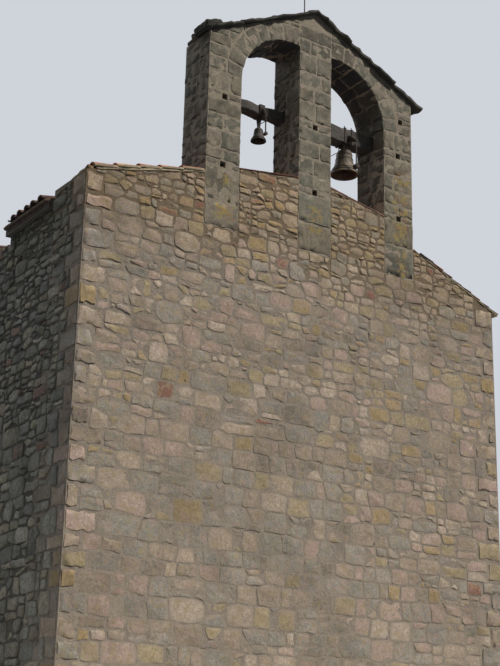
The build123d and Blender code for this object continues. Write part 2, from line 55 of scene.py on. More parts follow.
# Lines of the block and its bell gable that the nodes' boxes don't give, in metres
WALL_LEFT, WALL_RIGHT = -4.0, 4.0
WALL_FRONT, WALL_REAR = -3.0, 3.0
ROOF_FRONT = -2.0
LEFT_RAKE_FOOT, RIGHT_RAKE_FOOT = 9.33, 8.84
LEFT_SLOPE, RIGHT_SLOPE = math.tan(math.radians(14.0)), math.tan(math.radians(22.2))
LEFT_EAVE_GAP = (-0.5, 0.6)
RIDGE_X = WALL_LEFT + (RIGHT_RAKE_FOOT - LEFT_RAKE_FOOT + 8.0 * RIGHT_SLOPE) / (LEFT_SLOPE + RIGHT_SLOPE)
ROOF_DROP = 0.15
PIER_FOOT = 9.0
SPRINGING = 11.62
ARCH_RADIUS = 1.0
RING_DEPTH = 0.30
GABLE_AXIS = 0.09
GABLE_ANGLE = math.radians(26.2)
GABLE_SLOPE = math.tan(GABLE_ANGLE)
SILL_THICKNESS = 0.03
PUTLOG = 0.10
PUTLOG_HEIGHTS = (10.05, 11.21)
HIGH_PUTLOG = (1.94, 11.87)
# Edges of a mesh that turn by more than this stay sharp
SHARP_ANGLE = math.radians(50.0)

Tree, Node, Socket = bpy.types.NodeTree, bpy.types.Node, bpy.types.NodeSocket
Colour = tuple[float, float, float, float]
# Normal and limit of a line in a wall face: stones stay where normal . (u, v) <= limit
Cut = tuple[tuple[float, float], float]


class Side(Enum):
    """Left or right half of the tower, as the sign of X."""
    LEFT = -1
    RIGHT = 1

    @property
    def word(self) -> str:
        """The side's word in the names of nodes."""
        return self.name.lower()

    @property
    def foot(self) -> float:
        """Height of the front wall's corner, where its rake starts."""
        return LEFT_RAKE_FOOT if self is Side.LEFT else RIGHT_RAKE_FOOT

    @property
    def slope(self) -> float:
        """Rise over run of the roof."""
        return LEFT_SLOPE if self is Side.LEFT else RIGHT_SLOPE


# Nodes and colours


def linear(code: str) -> Colour:
    """Turns an sRGB hex value into linear RGBA.

    Args:
        code: Six hex digits with a leading hash.

    Returns:
        Red, green, blue in linear light, and an alpha of 1.
    """
    parts = [int(code[i:i + 2], 16) / 255 for i in (1, 3, 5)]
    return (*[c / 12.92 if c <= 0.04045 else ((c + 0.055) / 1.055) ** 2.4 for c in parts], 1.0)


def add_node(tree: Tree, kind: str, sockets: dict | None = None, **settings) -> Node:
    """Adds a node, sets its properties, and fills or links its inputs.

    Args:
        tree: The node tree that gets the node.
        kind: The node's type name.
        sockets: Values or output sockets, keyed by the input's name or number.
        **settings: Properties of the node.

    Returns:
        The new node.
    """
    node = tree.nodes.new(kind)
    for key, value in settings.items():
        setattr(node, key, value)
    for key, value in (sockets or {}).items():
        if isinstance(value, Socket):
            tree.links.new(value, node.inputs[key])
        else:
            node.inputs[key].default_value = value
    return node


class Paint:
    """A material in the making: patterns of real sizes, coats of colour one over another, and relief."""

    def __init__(self, name: str, roughness: float, palette: Sequence[str],
                 carried: Sequence[str] = ()) -> None:
        """Starts the material with its base colour.

        Args:
            name: The material's name.
            roughness: Its roughness.
            palette: Base colours; of several, each stone or tile takes one by its hue.
            carried: Numbers that the mesh carries at its points.
        """
        self.material = bpy.data.materials.new(name)
        self.material.use_nodes = True
        self.tree = self.material.node_tree
        self.tree.nodes.clear()
        self.shader = add_node(self.tree, "ShaderNodeBsdfPrincipled", {"Roughness": roughness})
        add_node(self.tree, "ShaderNodeOutputMaterial", {"Surface": self.shader.outputs["BSDF"]})
        self.coords = self.add("ShaderNodeTexCoord")["Object"]
        self.carried = {key: self.add("ShaderNodeAttribute", attribute_name=key)["Fac"] for key in carried}
        self.colour: Socket | Colour = linear(palette[0])
        if len(palette) > 1:
            node = add_node(self.tree, "ShaderNodeValToRGB", {"Fac": self.carried["hue"]})
            ramp = node.color_ramp
            ramp.interpolation = "CONSTANT"
            while len(ramp.elements) < len(palette):
                ramp.elements.new(1.0)
            for i, (stop, code) in enumerate(zip(ramp.elements, palette)):
                stop.position = i / len(palette)
                stop.color = linear(code)
            self.colour = node.outputs["Color"]

    def add(self, kind: str, sockets: dict | None = None, **settings) -> bpy.types.NodeOutputs:
        """Adds a node to the material and gives its outputs."""
        return add_node(self.tree, kind, sockets, **settings).outputs

    def pattern(self, size_mm: float, octaves: float = 4.0, finer: float = 0.6, warp: float = 0.0,
                stretch: Sequence[float] = (1.0, 1.0, 1.0), shift: float = 0.0) -> Socket:
        """Noise on Object coordinates whose features are about a real size.

        Args:
            size_mm: Width of a feature in millimetres.
            octaves: Octaves.
            finer: Weight of the finer octaves.
            warp: Distortion.
            stretch: Scale of the coordinates along each axis, below 1 to draw the pattern out.
            shift: Distance in metres that keeps two patterns of one kind apart.

        Returns:
            The pattern's socket.
        """
        placed = self.add("ShaderNodeMapping", {
            "Vector": self.coords, "Location": (shift,) * 3, "Scale": stretch})
        return self.add("ShaderNodeTexNoise", {
            "Vector": placed[0], "Scale": 1000.0 / size_mm, "Detail": octaves, "Roughness": finer,
            "Distortion": warp})["Fac"]

    def coat(self, value: Socket, low: float, high: float, code: str, amount: float = 1.0,
             mode: str = "MIX") -> None:
        """Lays a colour over what is there, more as a value goes from one mark to another.

        Args:
            value: The value.
            low: Mark where the coat starts.
            high: Mark where it is full.
            code: Its colour.
            amount: How much it covers where it is full.
            mode: Blend mode.
        """
        cover = self.add("ShaderNodeMapRange", {
            "Value": value, "From Min": low, "From Max": high, "To Max": amount},
            interpolation_type="SMOOTHSTEP")
        self.colour = self.add("ShaderNodeMix", {0: cover[0], 6: self.colour, 7: linear(code)},
                               data_type="RGBA", blend_type=mode)[2]

    def shade(self, value: Socket, low: float, high: float, dark: float, light: float) -> None:
        """Darkens and brightens what is there by a value.

        Args:
            value: The value.
            low: Mark that gives the dark level.
            high: Mark that gives the light level.
            dark: Lowest factor on the colour.
            light: Highest factor on the colour.
        """
        level = self.add("ShaderNodeMapRange", {
            "Value": value, "From Min": low, "From Max": high, "To Min": dark, "To Max": light})
        self.colour = self.add("ShaderNodeMix", {0: 1.0, 6: self.colour, 7: level[0]},
                               data_type="RGBA", blend_type="MULTIPLY")[2]

    def rain(self, band: tuple[float, float], code: str) -> None:
        """Lays the dirt that rain leaves in the band of height under an open wall top.

        Args:
            band: Heights where the dirt starts and where it is full, on average.
            code: The dirt's colour.
        """
        height = self.add("ShaderNodeSeparateXYZ", {"Vector": self.coords})["Z"]
        spread = 1.6
        uneven = self.add("ShaderNodeMath", {0: self.pattern(1300.0), 1: spread, 2: height},
                          operation="MULTIPLY_ADD")[0]
        self.coat(uneven, band[0] + spread / 2, band[1] + spread / 2, code, mode="MULTIPLY")

    def done(self, *layers: tuple[Socket, float, float]) -> bpy.types.Material:
        """Links the colour and chains the relief.

        Args:
            *layers: Height, strength, and depth in millimetres of each layer of relief.

        Returns:
            The material.
        """
        self.tree.links.new(self.colour, self.shader.inputs["Base Color"])
        normal = self.shader.inputs["Normal"]
        for height, strength, depth in reversed(layers):
            bump = add_node(self.tree, "ShaderNodeBump", {
                "Height": height, "Strength": strength, "Distance": depth * 0.001})
            self.tree.links.new(bump.outputs["Normal"], normal)
            normal = bump.inputs["Normal"]
        return self.material


@dataclass(frozen=True)
class Finish:
    """Base of the finishes."""
    name: str
    roughness: float = 0.9

    def build(self) -> bpy.types.Material:
        """Builds the material."""
        raise NotImplementedError


@dataclass(frozen=True)
class StoneFinish(Finish):
    """Weathered sandstone or slate, split or dressed: each stone has its own colour, with mottling, mortar
    smears at its rim, dark grime and patches of lichen, and painted shade on faces that look down or towards
    -X."""
    palette: tuple[str, ...] = ("#9c8b72",)
    grime: str = "#6a6250"
    smear: str = "#9a907f"
    lichen: tuple[str, str] = ("#8d8048", "#96683a")
    crust: str = "#a39f8a"
    mottle_mm: float = 60.0
    grain_mm: float = 7.0
    pit_depth_mm: float = 2.5
    smear_amount: float = 0.5
    smear_spread: float = 0.0
    stains: tuple[str, str] = ("#a08c80", "#93815a")
    stain_amount: float = 0.3
    tones: tuple[float, float] = (0.9, 1.12)
    crust_amount: float = 0.25
    grime_amount: float = 0.4
    rain_band: tuple[float, float] = (50.0, 51.0)
    rain_tint: str = "#d8cdb8"
    # Painted shade: tints multiplied onto faces that look down and faces that look towards -X
    underside: str = "#e0e0e0"
    damp_side: str = "#ffffff"

    def build(self) -> bpy.types.Material:
        """Builds the material, from the bare stone outwards."""
        paint = Paint(self.name, self.roughness, self.palette, ("hue", "tone", "rim", "lichen"))
        mottle = paint.pattern(self.mottle_mm, 7, 0.74, 0.4)
        grain = paint.pattern(self.grain_mm, 5, 0.72)
        paint.shade(paint.carried["tone"], 0.0, 1.0, *self.tones)
        paint.shade(mottle, 0.3, 0.72, 0.7, 1.3)
        paint.shade(grain, 0.32, 0.68, 0.72, 1.24)
        for code, size in zip(self.stains, (2.2, 1.5)):
            paint.coat(paint.pattern(self.mottle_mm * size, 5, 0.6, 0.8), 0.5, 0.62, code, self.stain_amount)
        self._smear(paint, mottle)
        paint.coat(paint.pattern(900.0, 5, 0.62, 0.6), 0.44, 0.72, self.grime, self.grime_amount, "MULTIPLY")
        paint.rain(self.rain_band, self.rain_tint)
        # Painted shade: faces that look down or towards -X are darkened by their normal
        normal = paint.add("ShaderNodeNewGeometry")["Normal"]
        facing = paint.add("ShaderNodeSeparateXYZ", {"Vector": normal})
        for axis, tint in (("Z", self.underside), ("X", self.damp_side)):
            paint.coat(facing[axis], -0.3, -0.9, tint, mode="MULTIPLY")
        self._grow_lichens(paint)
        return paint.done((mottle, 0.8, self.pit_depth_mm * 2.5), (grain, 0.6, self.pit_depth_mm))

    def _smear(self, paint: Paint, mottle: Socket) -> None:
        """Lays wiped mortar over the stones' rims, broken up by their mottling."""
        wiped = paint.add("ShaderNodeMath", {0: paint.carried["rim"], 1: self.smear_spread},
                          operation="ADD")[0]
        gaps = paint.add("ShaderNodeMapRange", {"Value": mottle, "From Min": 0.3, "From Max": 0.6},
                         interpolation_type="SMOOTHSTEP")[0]
        blotch = paint.add("ShaderNodeMath", {0: wiped, 1: gaps}, operation="MULTIPLY")[0]
        paint.coat(blotch, 0.0, 0.75, self.smear, self.smear_amount)

    def _grow_lichens(self, paint: Paint) -> None:
        """Lays yellow and orange lichen where the mesh asks for growth, and a few pale spots."""
        for size, shift, mark, code in ((80.0, 0.0, 0.64, self.lichen[0]), (55.0, 3.1, 0.70, self.lichen[1])):
            spots = paint.pattern(size, 6, 0.7, 0.3, shift=shift)
            raised = paint.add("ShaderNodeMath", {0: paint.carried["lichen"], 1: 0.18, 2: spots},
                               operation="MULTIPLY_ADD")[0]
            paint.coat(raised, mark, mark + 0.1, code, 0.85)
        paint.coat(paint.pattern(38.0, 5, 0.75), 0.6, 0.7, self.crust, self.crust_amount)


@dataclass(frozen=True)
class MortarFinish(Finish):
    """Old lime mortar, thrown and wiped by trowel: pale and sandy, darker where rain runs down it."""
    colour: str = "#8b8071"
    dark: str = "#6e655a"
    lumps: str = "#9b9080"
    sand: str = "#5b5346"
    rain_band: tuple[float, float] = (50.0, 51.0)
    rain_tint: str = "#cdbfa9"

    def build(self) -> bpy.types.Material:
        """Builds the material."""
        paint = Paint(self.name, self.roughness, (self.colour,))
        lumps, sand = paint.pattern(45.0, 6, 0.72), paint.pattern(6.0, 3, 0.7)
        paint.coat(paint.pattern(500.0, 6, 0.68, 0.5), 0.35, 0.7, self.dark)
        paint.coat(lumps, 0.38, 0.66, self.lumps, 0.7)
        paint.coat(sand, 0.4, 0.7, self.sand, 0.25)
        paint.rain(self.rain_band, self.rain_tint)
        return paint.done((lumps, 1.0, 14.0), (sand, 0.8, 2.5))


@dataclass(frozen=True)
class TileFinish(Finish):
    """Hand-moulded terracotta, fired and weathered: each tile its own red, with pale scum, and black crust
    that gathers low down in the channels, with painted shade there as well."""
    palette: tuple[str, ...] = ("#874d3b", "#925b46", "#774235", "#835946", "#936c55", "#693f34")
    crust: str = "#3a332d"
    scum: str = "#b9a78f"
    scum_amount: float = 0.45

    def build(self) -> bpy.types.Material:
        """Builds the material."""
        paint = Paint(self.name, self.roughness, self.palette, ("hue", "tone", "rim"))
        blot, fine = paint.pattern(110.0, 6, 0.65, 0.5), paint.pattern(9.0, 4, 0.7)
        # Crust and painted shade: darker low down in each unit, by its rim, broken up by noise
        crust_and_shade = paint.add("ShaderNodeMath", {
            0: paint.carried["rim"], 1: 0.45, 2: paint.pattern(170.0, 6, 0.72, 0.8)},
            operation="MULTIPLY_ADD")[0]
        paint.shade(paint.carried["tone"], 0.0, 1.0, 0.78, 1.2)
        paint.coat(blot, 0.52, 0.68, self.scum, self.scum_amount)
        paint.coat(crust_and_shade, 0.54, 0.88, self.crust, 0.85)
        paint.coat(fine, 0.5, 0.7, "#5a3a2c", 0.3)
        return paint.done((blot, 0.6, 4.0), (fine, 0.6, 1.2))


@dataclass(frozen=True)
class OakFinish(Finish):
    """Oak beam left in the weather: silver-grey, with dark checks along the grain, which runs along X."""

    def build(self) -> bpy.types.Material:
        """Builds the material."""
        paint = Paint(self.name, self.roughness, ("#35332f",))
        along = (0.08, 1.0, 1.0)
        grain, checks = paint.pattern(9.0, 6, 0.7, 0.6, along), paint.pattern(28.0, 3, 0.5, 1.2, along)
        paint.coat(grain, 0.35, 0.65, "#57534d")
        paint.coat(paint.pattern(220.0), 0.4, 0.7, "#2e2a25", 0.5)
        paint.coat(checks, 0.56, 0.66, "#1d1a17", 0.9)
        return paint.done((grain, 0.8, 2.0), (checks, -0.8, 8.0))


@dataclass(frozen=True)
class IronFinish(Finish):
    """Wrought iron, forged and rusted outdoors: near black, with brown rust and a rough hammered skin."""

    def build(self) -> bpy.types.Material:
        """Builds the material."""
        paint = Paint(self.name, self.roughness, ("#252423",))
        paint.shader.inputs["Metallic"].default_value = 0.35
        blot, fine = paint.pattern(40.0, 6, 0.7, 0.5), paint.pattern(5.0, 4, 0.7)
        paint.coat(blot, 0.42, 0.66, "#40322b")
        paint.coat(fine, 0.45, 0.7, "#573c2b", 0.4)
        return paint.done((blot, 0.5, 2.0), (fine, 0.6, 0.8))


@dataclass(frozen=True)
class BronzeFinish(Finish):
    """Bell bronze, sand cast and left outdoors: dull grey-gold with brown runs, glossier between them."""
    bright: str = "#665945"
    dull: str = "#39322a"
    rust: str = "#54392f"

    def build(self) -> bpy.types.Material:
        """Builds the material."""
        paint = Paint(self.name, self.roughness, (self.bright,))
        runs, fine = paint.pattern(60.0, 6, 0.65, 0.5, (1.0, 1.0, 0.22)), paint.pattern(4.0, 3, 0.7)
        paint.coat(runs, 0.36, 0.66, self.dull)
        paint.coat(paint.pattern(120.0), 0.55, 0.68, self.rust, 0.6)
        paint.coat(fine, 0.5, 0.72, "#3a342b", 0.35)
        gloss = paint.add("ShaderNodeMapRange", {
            "Value": runs, "From Min": 0.3, "From Max": 0.7, "To Min": self.roughness - 0.15,
            "To Max": self.roughness}, interpolation_type="SMOOTHSTEP")[0]
        paint.tree.links.new(gloss, paint.shader.inputs["Roughness"])
        return paint.done((runs, 0.3, 1.0), (fine, 0.4, 0.5))


# Rubble of the lit walls: sandstone split by hammer, mostly beige and grey; the last colours are rare
RUBBLE = StoneFinish("weathered_sandstone_split", palette=(
    "#9c9081", "#9e9275", "#959087", "#a99b8a", "#8f8c83", "#9f8c68", "#ab988d", "#857d72", "#8a6456",
    "#b3a697"), smear="#968d7f", smear_amount=0.85, grain_mm=26.0, pit_depth_mm=6.0,
    stains=("#ab9489", "#998b66"), stain_amount=0.55, rain_band=(8.3, 9.5), rain_tint="#fcf6e8")
# Rubble in the shade and on the sides: the same stone, greyer and dirtier, and painted darker as shade
SHADE_RUBBLE = StoneFinish("weathered_sandstone_shaded", palette=(
    "#8b8a80", "#8f8c78", "#82837a", "#9c9685", "#777872", "#8d8473", "#7d655a", "#a5a294", "#85857b",
    "#98978d"), smear="#66655c", smear_amount=0.6, grain_mm=30.0, pit_depth_mm=9.0,
    grime="#676961", grime_amount=0.6, crust_amount=0.4, stains=("#7b7b70", "#5c604b"), stain_amount=0.55,
    tones=(0.84, 1.56), rain_band=(8.0, 9.4), rain_tint="#cdc9bc")
# Dressed blocks of the bell gable: grey-green sandstone, squared by chisel, lichen in places, painted shade
# on soffits and -X faces
ASHLAR = StoneFinish("lichened_ashlar_dressed", palette=(
    "#6a6a5b", "#777263", "#5e5e50", "#7f7567", "#656558", "#746c5a"), mottle_mm=80.0, grain_mm=24.0,
    pit_depth_mm=4.0, smear="#979081", smear_spread=0.33, smear_amount=0.7, crust_amount=0.4,
    stains=("#857b6e", "#56574b"), stain_amount=0.5, tones=(0.78, 1.18), grime="#504f44", grime_amount=0.65,
    underside="#2b2826", damp_side="#cbc8c2")
# Cap slabs: split slate, dark with weather and overgrown, and painted darker still as the shade at the cap's
# edge
SLATE = StoneFinish("slate_slab_split", palette=(
    "#302f28", "#38362e", "#292822", "#3e3b32"), mottle_mm=90.0, pit_depth_mm=4.0, smear="#2d2e20",
    smear_amount=0.5, lichen=("#4e4f30", "#6a5c38"), crust="#6a6753", crust_amount=0.3, grime="#45443a",
    stains=("#4b4a3c", "#25251d"))
# The overgrown slab at the cap's left end, painted near black also as the shade on its end face
MOSS_AND_SHADE = StoneFinish("slate_slab_overgrown", palette=("#1f2018", "#25261b", "#1a1b15"), mottle_mm=45.0,
                   pit_depth_mm=7.0, smear="#2a2b1c", smear_amount=0.6, lichen=("#33361f", "#3c3826"),
                   crust="#4a4a3a", crust_amount=0.15, grime="#3a3a2c", stains=("#2b2d1c", "#181911"))
MORTAR = MortarFinish("lime_mortar_thrown", 0.95, colour="#91887b", dark="#797167", lumps="#9f9688",
                      rain_band=(7.9, 9.2))
# Lime mortar of the sides and rear: the same lime as the front, painted dark as shade
SHADE_MORTAR = MortarFinish("lime_mortar_shaded", 0.95, colour="#504e47", dark="#36342f", lumps="#6b685f")
GABLE_MORTAR = MortarFinish("lime_mortar_pointed", 0.95, colour="#958c7c", dark="#756e60", lumps="#a59c8b")
PALE_MORTAR = MortarFinish("lime_mortar_bedding", 0.95, colour="#b0a489", dark="#8c8069", lumps="#bdb199",
                           sand="#7c705b")
TERRACOTTA = TileFinish("terracotta_moulded", 0.85)
VERGE_TILE = TileFinish("terracotta_verge_moulded", 0.85, palette=(
    "#b06a4c", "#c07d5b", "#a2573e", "#b8886a", "#c79474", "#94503b"), scum_amount=0.5)
BRICK = TileFinish("terracotta_course_moulded", 0.88, palette=("#53342d", "#4a2e29", "#5d3c33", "#402924"),
                   scum="#8d7a66", scum_amount=0.25)
# Tiles at the left eave: weathered brown-black with moss, and painted darker as the shade on their ends
EAVE_TILE_SHADED = TileFinish("terracotta_eave_weathered", 0.9, palette=("#4c342c", "#583b31", "#432f29", "#614436"),
                       crust="#26211e", scum_amount=0.3)
THIN_TILE = TileFinish("terracotta_verge_weathered", 0.88, palette=(
    "#4d4239", "#574a3f", "#40372f", "#78483a", "#4a4038", "#8a5240"), scum_amount=0.3)
OAK = OakFinish("oak_weathered_sawn", 0.85)
IRON = IronFinish("wrought_iron_forged", 0.75)
BRONZE = BronzeFinish("bell_bronze_cast", 0.8)
DARK_BRONZE = BronzeFinish("bell_bronze_cast_dark", 0.8, bright="#46433b", dull="#2a2823", rust="#40322d")


@lru_cache(maxsize=None)
def material_of(finish: Finish) -> bpy.types.Material:
    """The material of a finish, built once."""
    return finish.build()


# Shapes


@dataclass
class Shape:
    """A closed shape: points in metres, outward triangles, and a rim of 1 on worn edges and 0 elsewhere."""
    points: np.ndarray
    triangles: np.ndarray
    rim: np.ndarray | None = None

    def moved(self, offset: Sequence[float], turn: Matrix | None = None) -> "Shape":
        """The shape turned about the origin and then shifted.

        Args:
            offset: The shift along X, Y and Z.
            turn: Matrix whose rotation turns the shape first.

        Returns:
            The new shape.
        """
        points = self.points if turn is None else self.points @ np.array(turn.to_3x3()).T
        return replace(self, points=points + np.asarray(offset))

    def stretched(self, factors: Sequence[float]) -> "Shape":
        """The shape scaled about the origin along X, Y and Z."""
        return replace(self, points=self.points * factors)


class SmoothNoise:
    """Smooth vector noise of about unit size, the same on each run."""
    OCTAVES = np.array([1.0, 1.0, 1.7, 2.3, 3.9, 5.1])

    def __init__(self, seed: int, wavelength: float, dims: int = 3) -> None:
        """Draws the waves.

        Args:
            seed: Seed of the draws.
            wavelength: Longest wave in metres.
            dims: Numbers in a point and in a result.
        """
        rng = np.random.default_rng(seed)
        heading = rng.normal(size=(len(self.OCTAVES), dims, dims))
        heading /= np.linalg.norm(heading, axis=1, keepdims=True)
        self.waves = heading * (2 * math.pi / wavelength) * self.OCTAVES[:, None, None]
        self.phases = rng.uniform(0, 2 * math.pi, (len(self.OCTAVES), dims))

    def __call__(self, points: np.ndarray) -> np.ndarray:
        """Noise at points, of the same shape as the points."""
        total = np.zeros_like(points, dtype=float)
        for octave, wave, phase in zip(self.OCTAVES, self.waves, self.phases):
            total += 1.0 / octave * np.sin(points @ wave + phase)
        return total / 1.6


def mesh_object(name: str, shape: Shape, material: bpy.types.Material) -> bpy.types.Object:
    """Makes an object of a shape and links it to the scene.

    Args:
        name: The object's name.
        shape: The shape.
        material: The material.

    Returns:
        The object, at the origin.
    """
    triangles = shape.triangles
    mesh = bpy.data.meshes.new(name)
    mesh.vertices.add(len(shape.points))
    mesh.vertices.foreach_set("co", shape.points.astype(np.float32).ravel())
    mesh.loops.add(triangles.size)
    mesh.loops.foreach_set("vertex_index", triangles.astype(np.int32).ravel())
    mesh.polygons.add(len(triangles))
    mesh.polygons.foreach_set("loop_start", np.arange(0, triangles.size, 3, dtype=np.int32))
    mesh.update(calc_edges=True)
    mesh.polygons.foreach_set("use_smooth", np.ones(len(triangles), dtype=bool))
    mesh.set_sharp_from_angle(angle=SHARP_ANGLE)
    mesh.materials.append(material)
    return linked(name, mesh)


def linked(name: str, data: bpy.types.ID | None) -> bpy.types.Object:
    """Makes an object of a mesh, lamp or camera and links it to the scene."""
    obj = bpy.data.objects.new(name, data)
    bpy.context.scene.collection.objects.link(obj)
    return obj


def carry(mesh: bpy.types.Mesh, key: str, values: np.ndarray) -> None:
    """Writes one number for each point of a mesh, which its material reads by name."""
    mesh.attributes.new(key, "FLOAT", "POINT").data.foreach_set("value", values.astype(np.float32))


def place(obj: bpy.types.Object, slot: str, *replaced: str, body: str = MASONRY) -> None:
    """Rides a piece on a body and hides the CAD nodes that it replaces.

    Args:
        obj: The piece.
        slot: The record's material slot; not used.
        *replaced: CAD nodes that it replaces.
        body: The body that it rides on.
    """
    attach(obj, body)
    if replaced:
        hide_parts(*replaced)
    LOG.info("piece %s: %d faces", obj.name, len(obj.data.polygons))


def span(node: str) -> tuple[np.ndarray, np.ndarray]:
    """Lowest and highest corner of a node as arrays."""
    low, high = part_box(node)
    return np.array(low), np.array(high)


@dataclass
class StoneLook:
    """What a stone's points carry for its finish; the lichen may differ from point to point."""
    hue: float = 0.5
    tone: float = 0.5
    lichen: float | np.ndarray = 0.0


class StoneMesh:
    """Collects closed stones into one mesh whose points carry hue, tone, rim and lichen."""

    def __init__(self, name: str) -> None:
        """Starts an empty mesh with a name."""
        self.name = name
        self.points: list[np.ndarray] = []
        self.triangles: list[np.ndarray] = []
        self.values: dict[str, list[np.ndarray]] = {"hue": [], "tone": [], "rim": [], "lichen": []}
        self.count = 0

    def add(self, stone: Shape, look: StoneLook) -> None:
        """Adds one closed stone with its colour numbers."""
        size = len(stone.points)
        self.points.append(stone.points)
        self.triangles.append(stone.triangles + self.count)
        self.count += size
        values = {"hue": look.hue, "tone": look.tone, "rim": stone.rim, "lichen": look.lichen}
        for key, value in values.items():
            self.values[key].append(np.broadcast_to(value, (size,)))

    def build(self, finish: Finish, slot: str, *replaced: str) -> None:
        """Makes the stones one piece of the tower, with nothing under the ground.

        Args:
            finish: Their finish.
            slot: The record's material slot.
            *replaced: CAD nodes that the stones replace.
        """
        points = np.concatenate(self.points)
        points[:, 2] = np.maximum(points[:, 2], 0.0)
        obj = mesh_object(self.name, Shape(points, np.concatenate(self.triangles)), material_of(finish))
        for key, parts in self.values.items():
            carry(obj.data, key, np.concatenate(parts))
        place(obj, slot, *replaced)


# Flat-bedded stones in a wall face


def clip(poly: np.ndarray, normal: Sequence[float], limit: float) -> np.ndarray:
    """Keeps the part of a convex outline where normal . p <= limit.

    Args:
        poly: Rows of u, v.
        normal: Two numbers.
        limit: The limit.

    Returns:
        The clipped outline, which may be empty.
    """
    if not len(poly):
        return poly
    reach = poly @ np.asarray(normal) - limit
    kept = []
    for i, here in enumerate(reach):
        there = reach[(i + 1) % len(poly)]
        a, b = poly[i], poly[(i + 1) % len(poly)]
        if here <= 0:
            kept.append(a)
        if (here < 0 < there) or (there < 0 < here):
            kept.append(a + (b - a) * (here / (here - there)))
    return np.array(kept) if len(kept) > 2 else np.zeros((0, 2))


def area(poly: np.ndarray) -> float:
    """Signed area of an outline."""
    if len(poly) < 3:
        return 0.0
    u, v = poly[:, 0], poly[:, 1]
    return 0.5 * float(np.sum(u * np.roll(v, -1) - v * np.roll(u, -1)))


def shrink(poly: np.ndarray, margin: float) -> np.ndarray:
    """Moves each edge of a convex, anticlockwise outline inwards.

    Args:
        poly: The outline.
        margin: Distance in metres.

    Returns:
        The smaller outline, which may be empty.
    """
    result = poly
    for i in range(len(poly)):
        edge = poly[(i + 1) % len(poly)] - poly[i]
        length = float(np.hypot(*edge))
        if length < 1e-6:
            continue
        outward = np.array([edge[1], -edge[0]]) / length
        result = clip(result, outward, float(outward @ poly[i]) - margin)
    return result


def soften(poly: np.ndarray, spacing: float, rounding: float, ragged: float,
           rng: np.random.Generator) -> np.ndarray:
    """Rounds an outline's corners, adds points along its edges and roughens them.

    Args:
        poly: The outline.
        spacing: Rough distance between points.
        rounding: Distance from a corner at which its curve starts.
        ragged: Greatest shift of a point.
        rng: Source of the shifts.

    Returns:
        The new outline.
    """
    points, most = [], 0.42
    for i in range(len(poly)):
        before, here, after = poly[i - 1], poly[i], poly[(i + 1) % len(poly)]
        back, ahead = before - here, after - here
        back_length, ahead_length = float(np.hypot(*back)), float(np.hypot(*ahead))
        if ahead_length < 1e-5 or back_length < 1e-5:
            continue
        share = min(rounding / ahead_length, most)
        enter, leave = here + back * min(rounding / back_length, most), here + ahead * share
        middle = 0.25 * enter + 0.5 * here + 0.25 * leave
        straightness = -float(back @ ahead) / (back_length * ahead_length)
        if straightness > 0.85:
            points.append(middle)
        else:
            points += [enter, leave] if straightness > 0.3 else [enter, middle, leave]
        inner = int((ahead_length - 2 * min(rounding, most * ahead_length)) / spacing)
        target = after - ahead * share
        points += [leave + (target - leave) * (k / (inner + 1)) for k in range(1, inner + 1)]
    out = np.array(points)
    return out + rng.uniform(-ragged, ragged, out.shape)


@dataclass(frozen=True)
class Bond:
    """How one stretch of wall is built, in metres. With a low lean the courses stay flat; with a high one the
    stones rest on each other like stones picked from a field."""
    length: float
    height: float
    joint: float = 0.016
    rounding: float = 0.05
    ragged: float = 0.005
    rise: float = 0.012
    rise_spread: float = 0.006
    slant: float = 0.12
    lean: float = 0.6
    hues: tuple[float, ...] = (1.0,)
    lichen: float = 0.0


@dataclass(frozen=True)
class Seed:
    """Rough place of one stone, before its neighbours press against it."""
    centre: np.ndarray
    size: np.ndarray
    bond: Bond
    cuts: tuple[Cut, ...]


@dataclass
class WallPlane:
    """A wall face: u runs along it, v upwards, and its normal points out."""
    origin: Sequence[float]
    along: Sequence[float]

    def lift(self, flat: np.ndarray, height: np.ndarray | float) -> np.ndarray:
        """Points in space over flat points, at a height above the face.

        Args:
            flat: Rows of u, v.
            height: Height of each point, or one for all.

        Returns:
            Rows of x, y, z.
        """
        along, up = np.array(self.along), np.array([0.0, 0.0, 1.0])
        height = np.broadcast_to(np.asarray(height, float), (len(flat),))
        return (np.array(self.origin) + flat[:, :1] * along + flat[:, 1:] * up
                + height[:, None] * np.cross(along, up))


@dataclass(frozen=True)
class Ring:
    """One ring of a stone's relief: its share of the worn edge's outline and of the rise, and its rim."""
    share: float
    height: float
    rim: float


FINE_RINGS = (Ring(1.0, 0.65, 0.8), Ring(0.82, 0.92, 0.3), Ring(0.42, 1.0, 0.0))
COARSE_RINGS = (Ring(1.0, 0.62, 0.8), Ring(0.66, 1.0, 0.1))


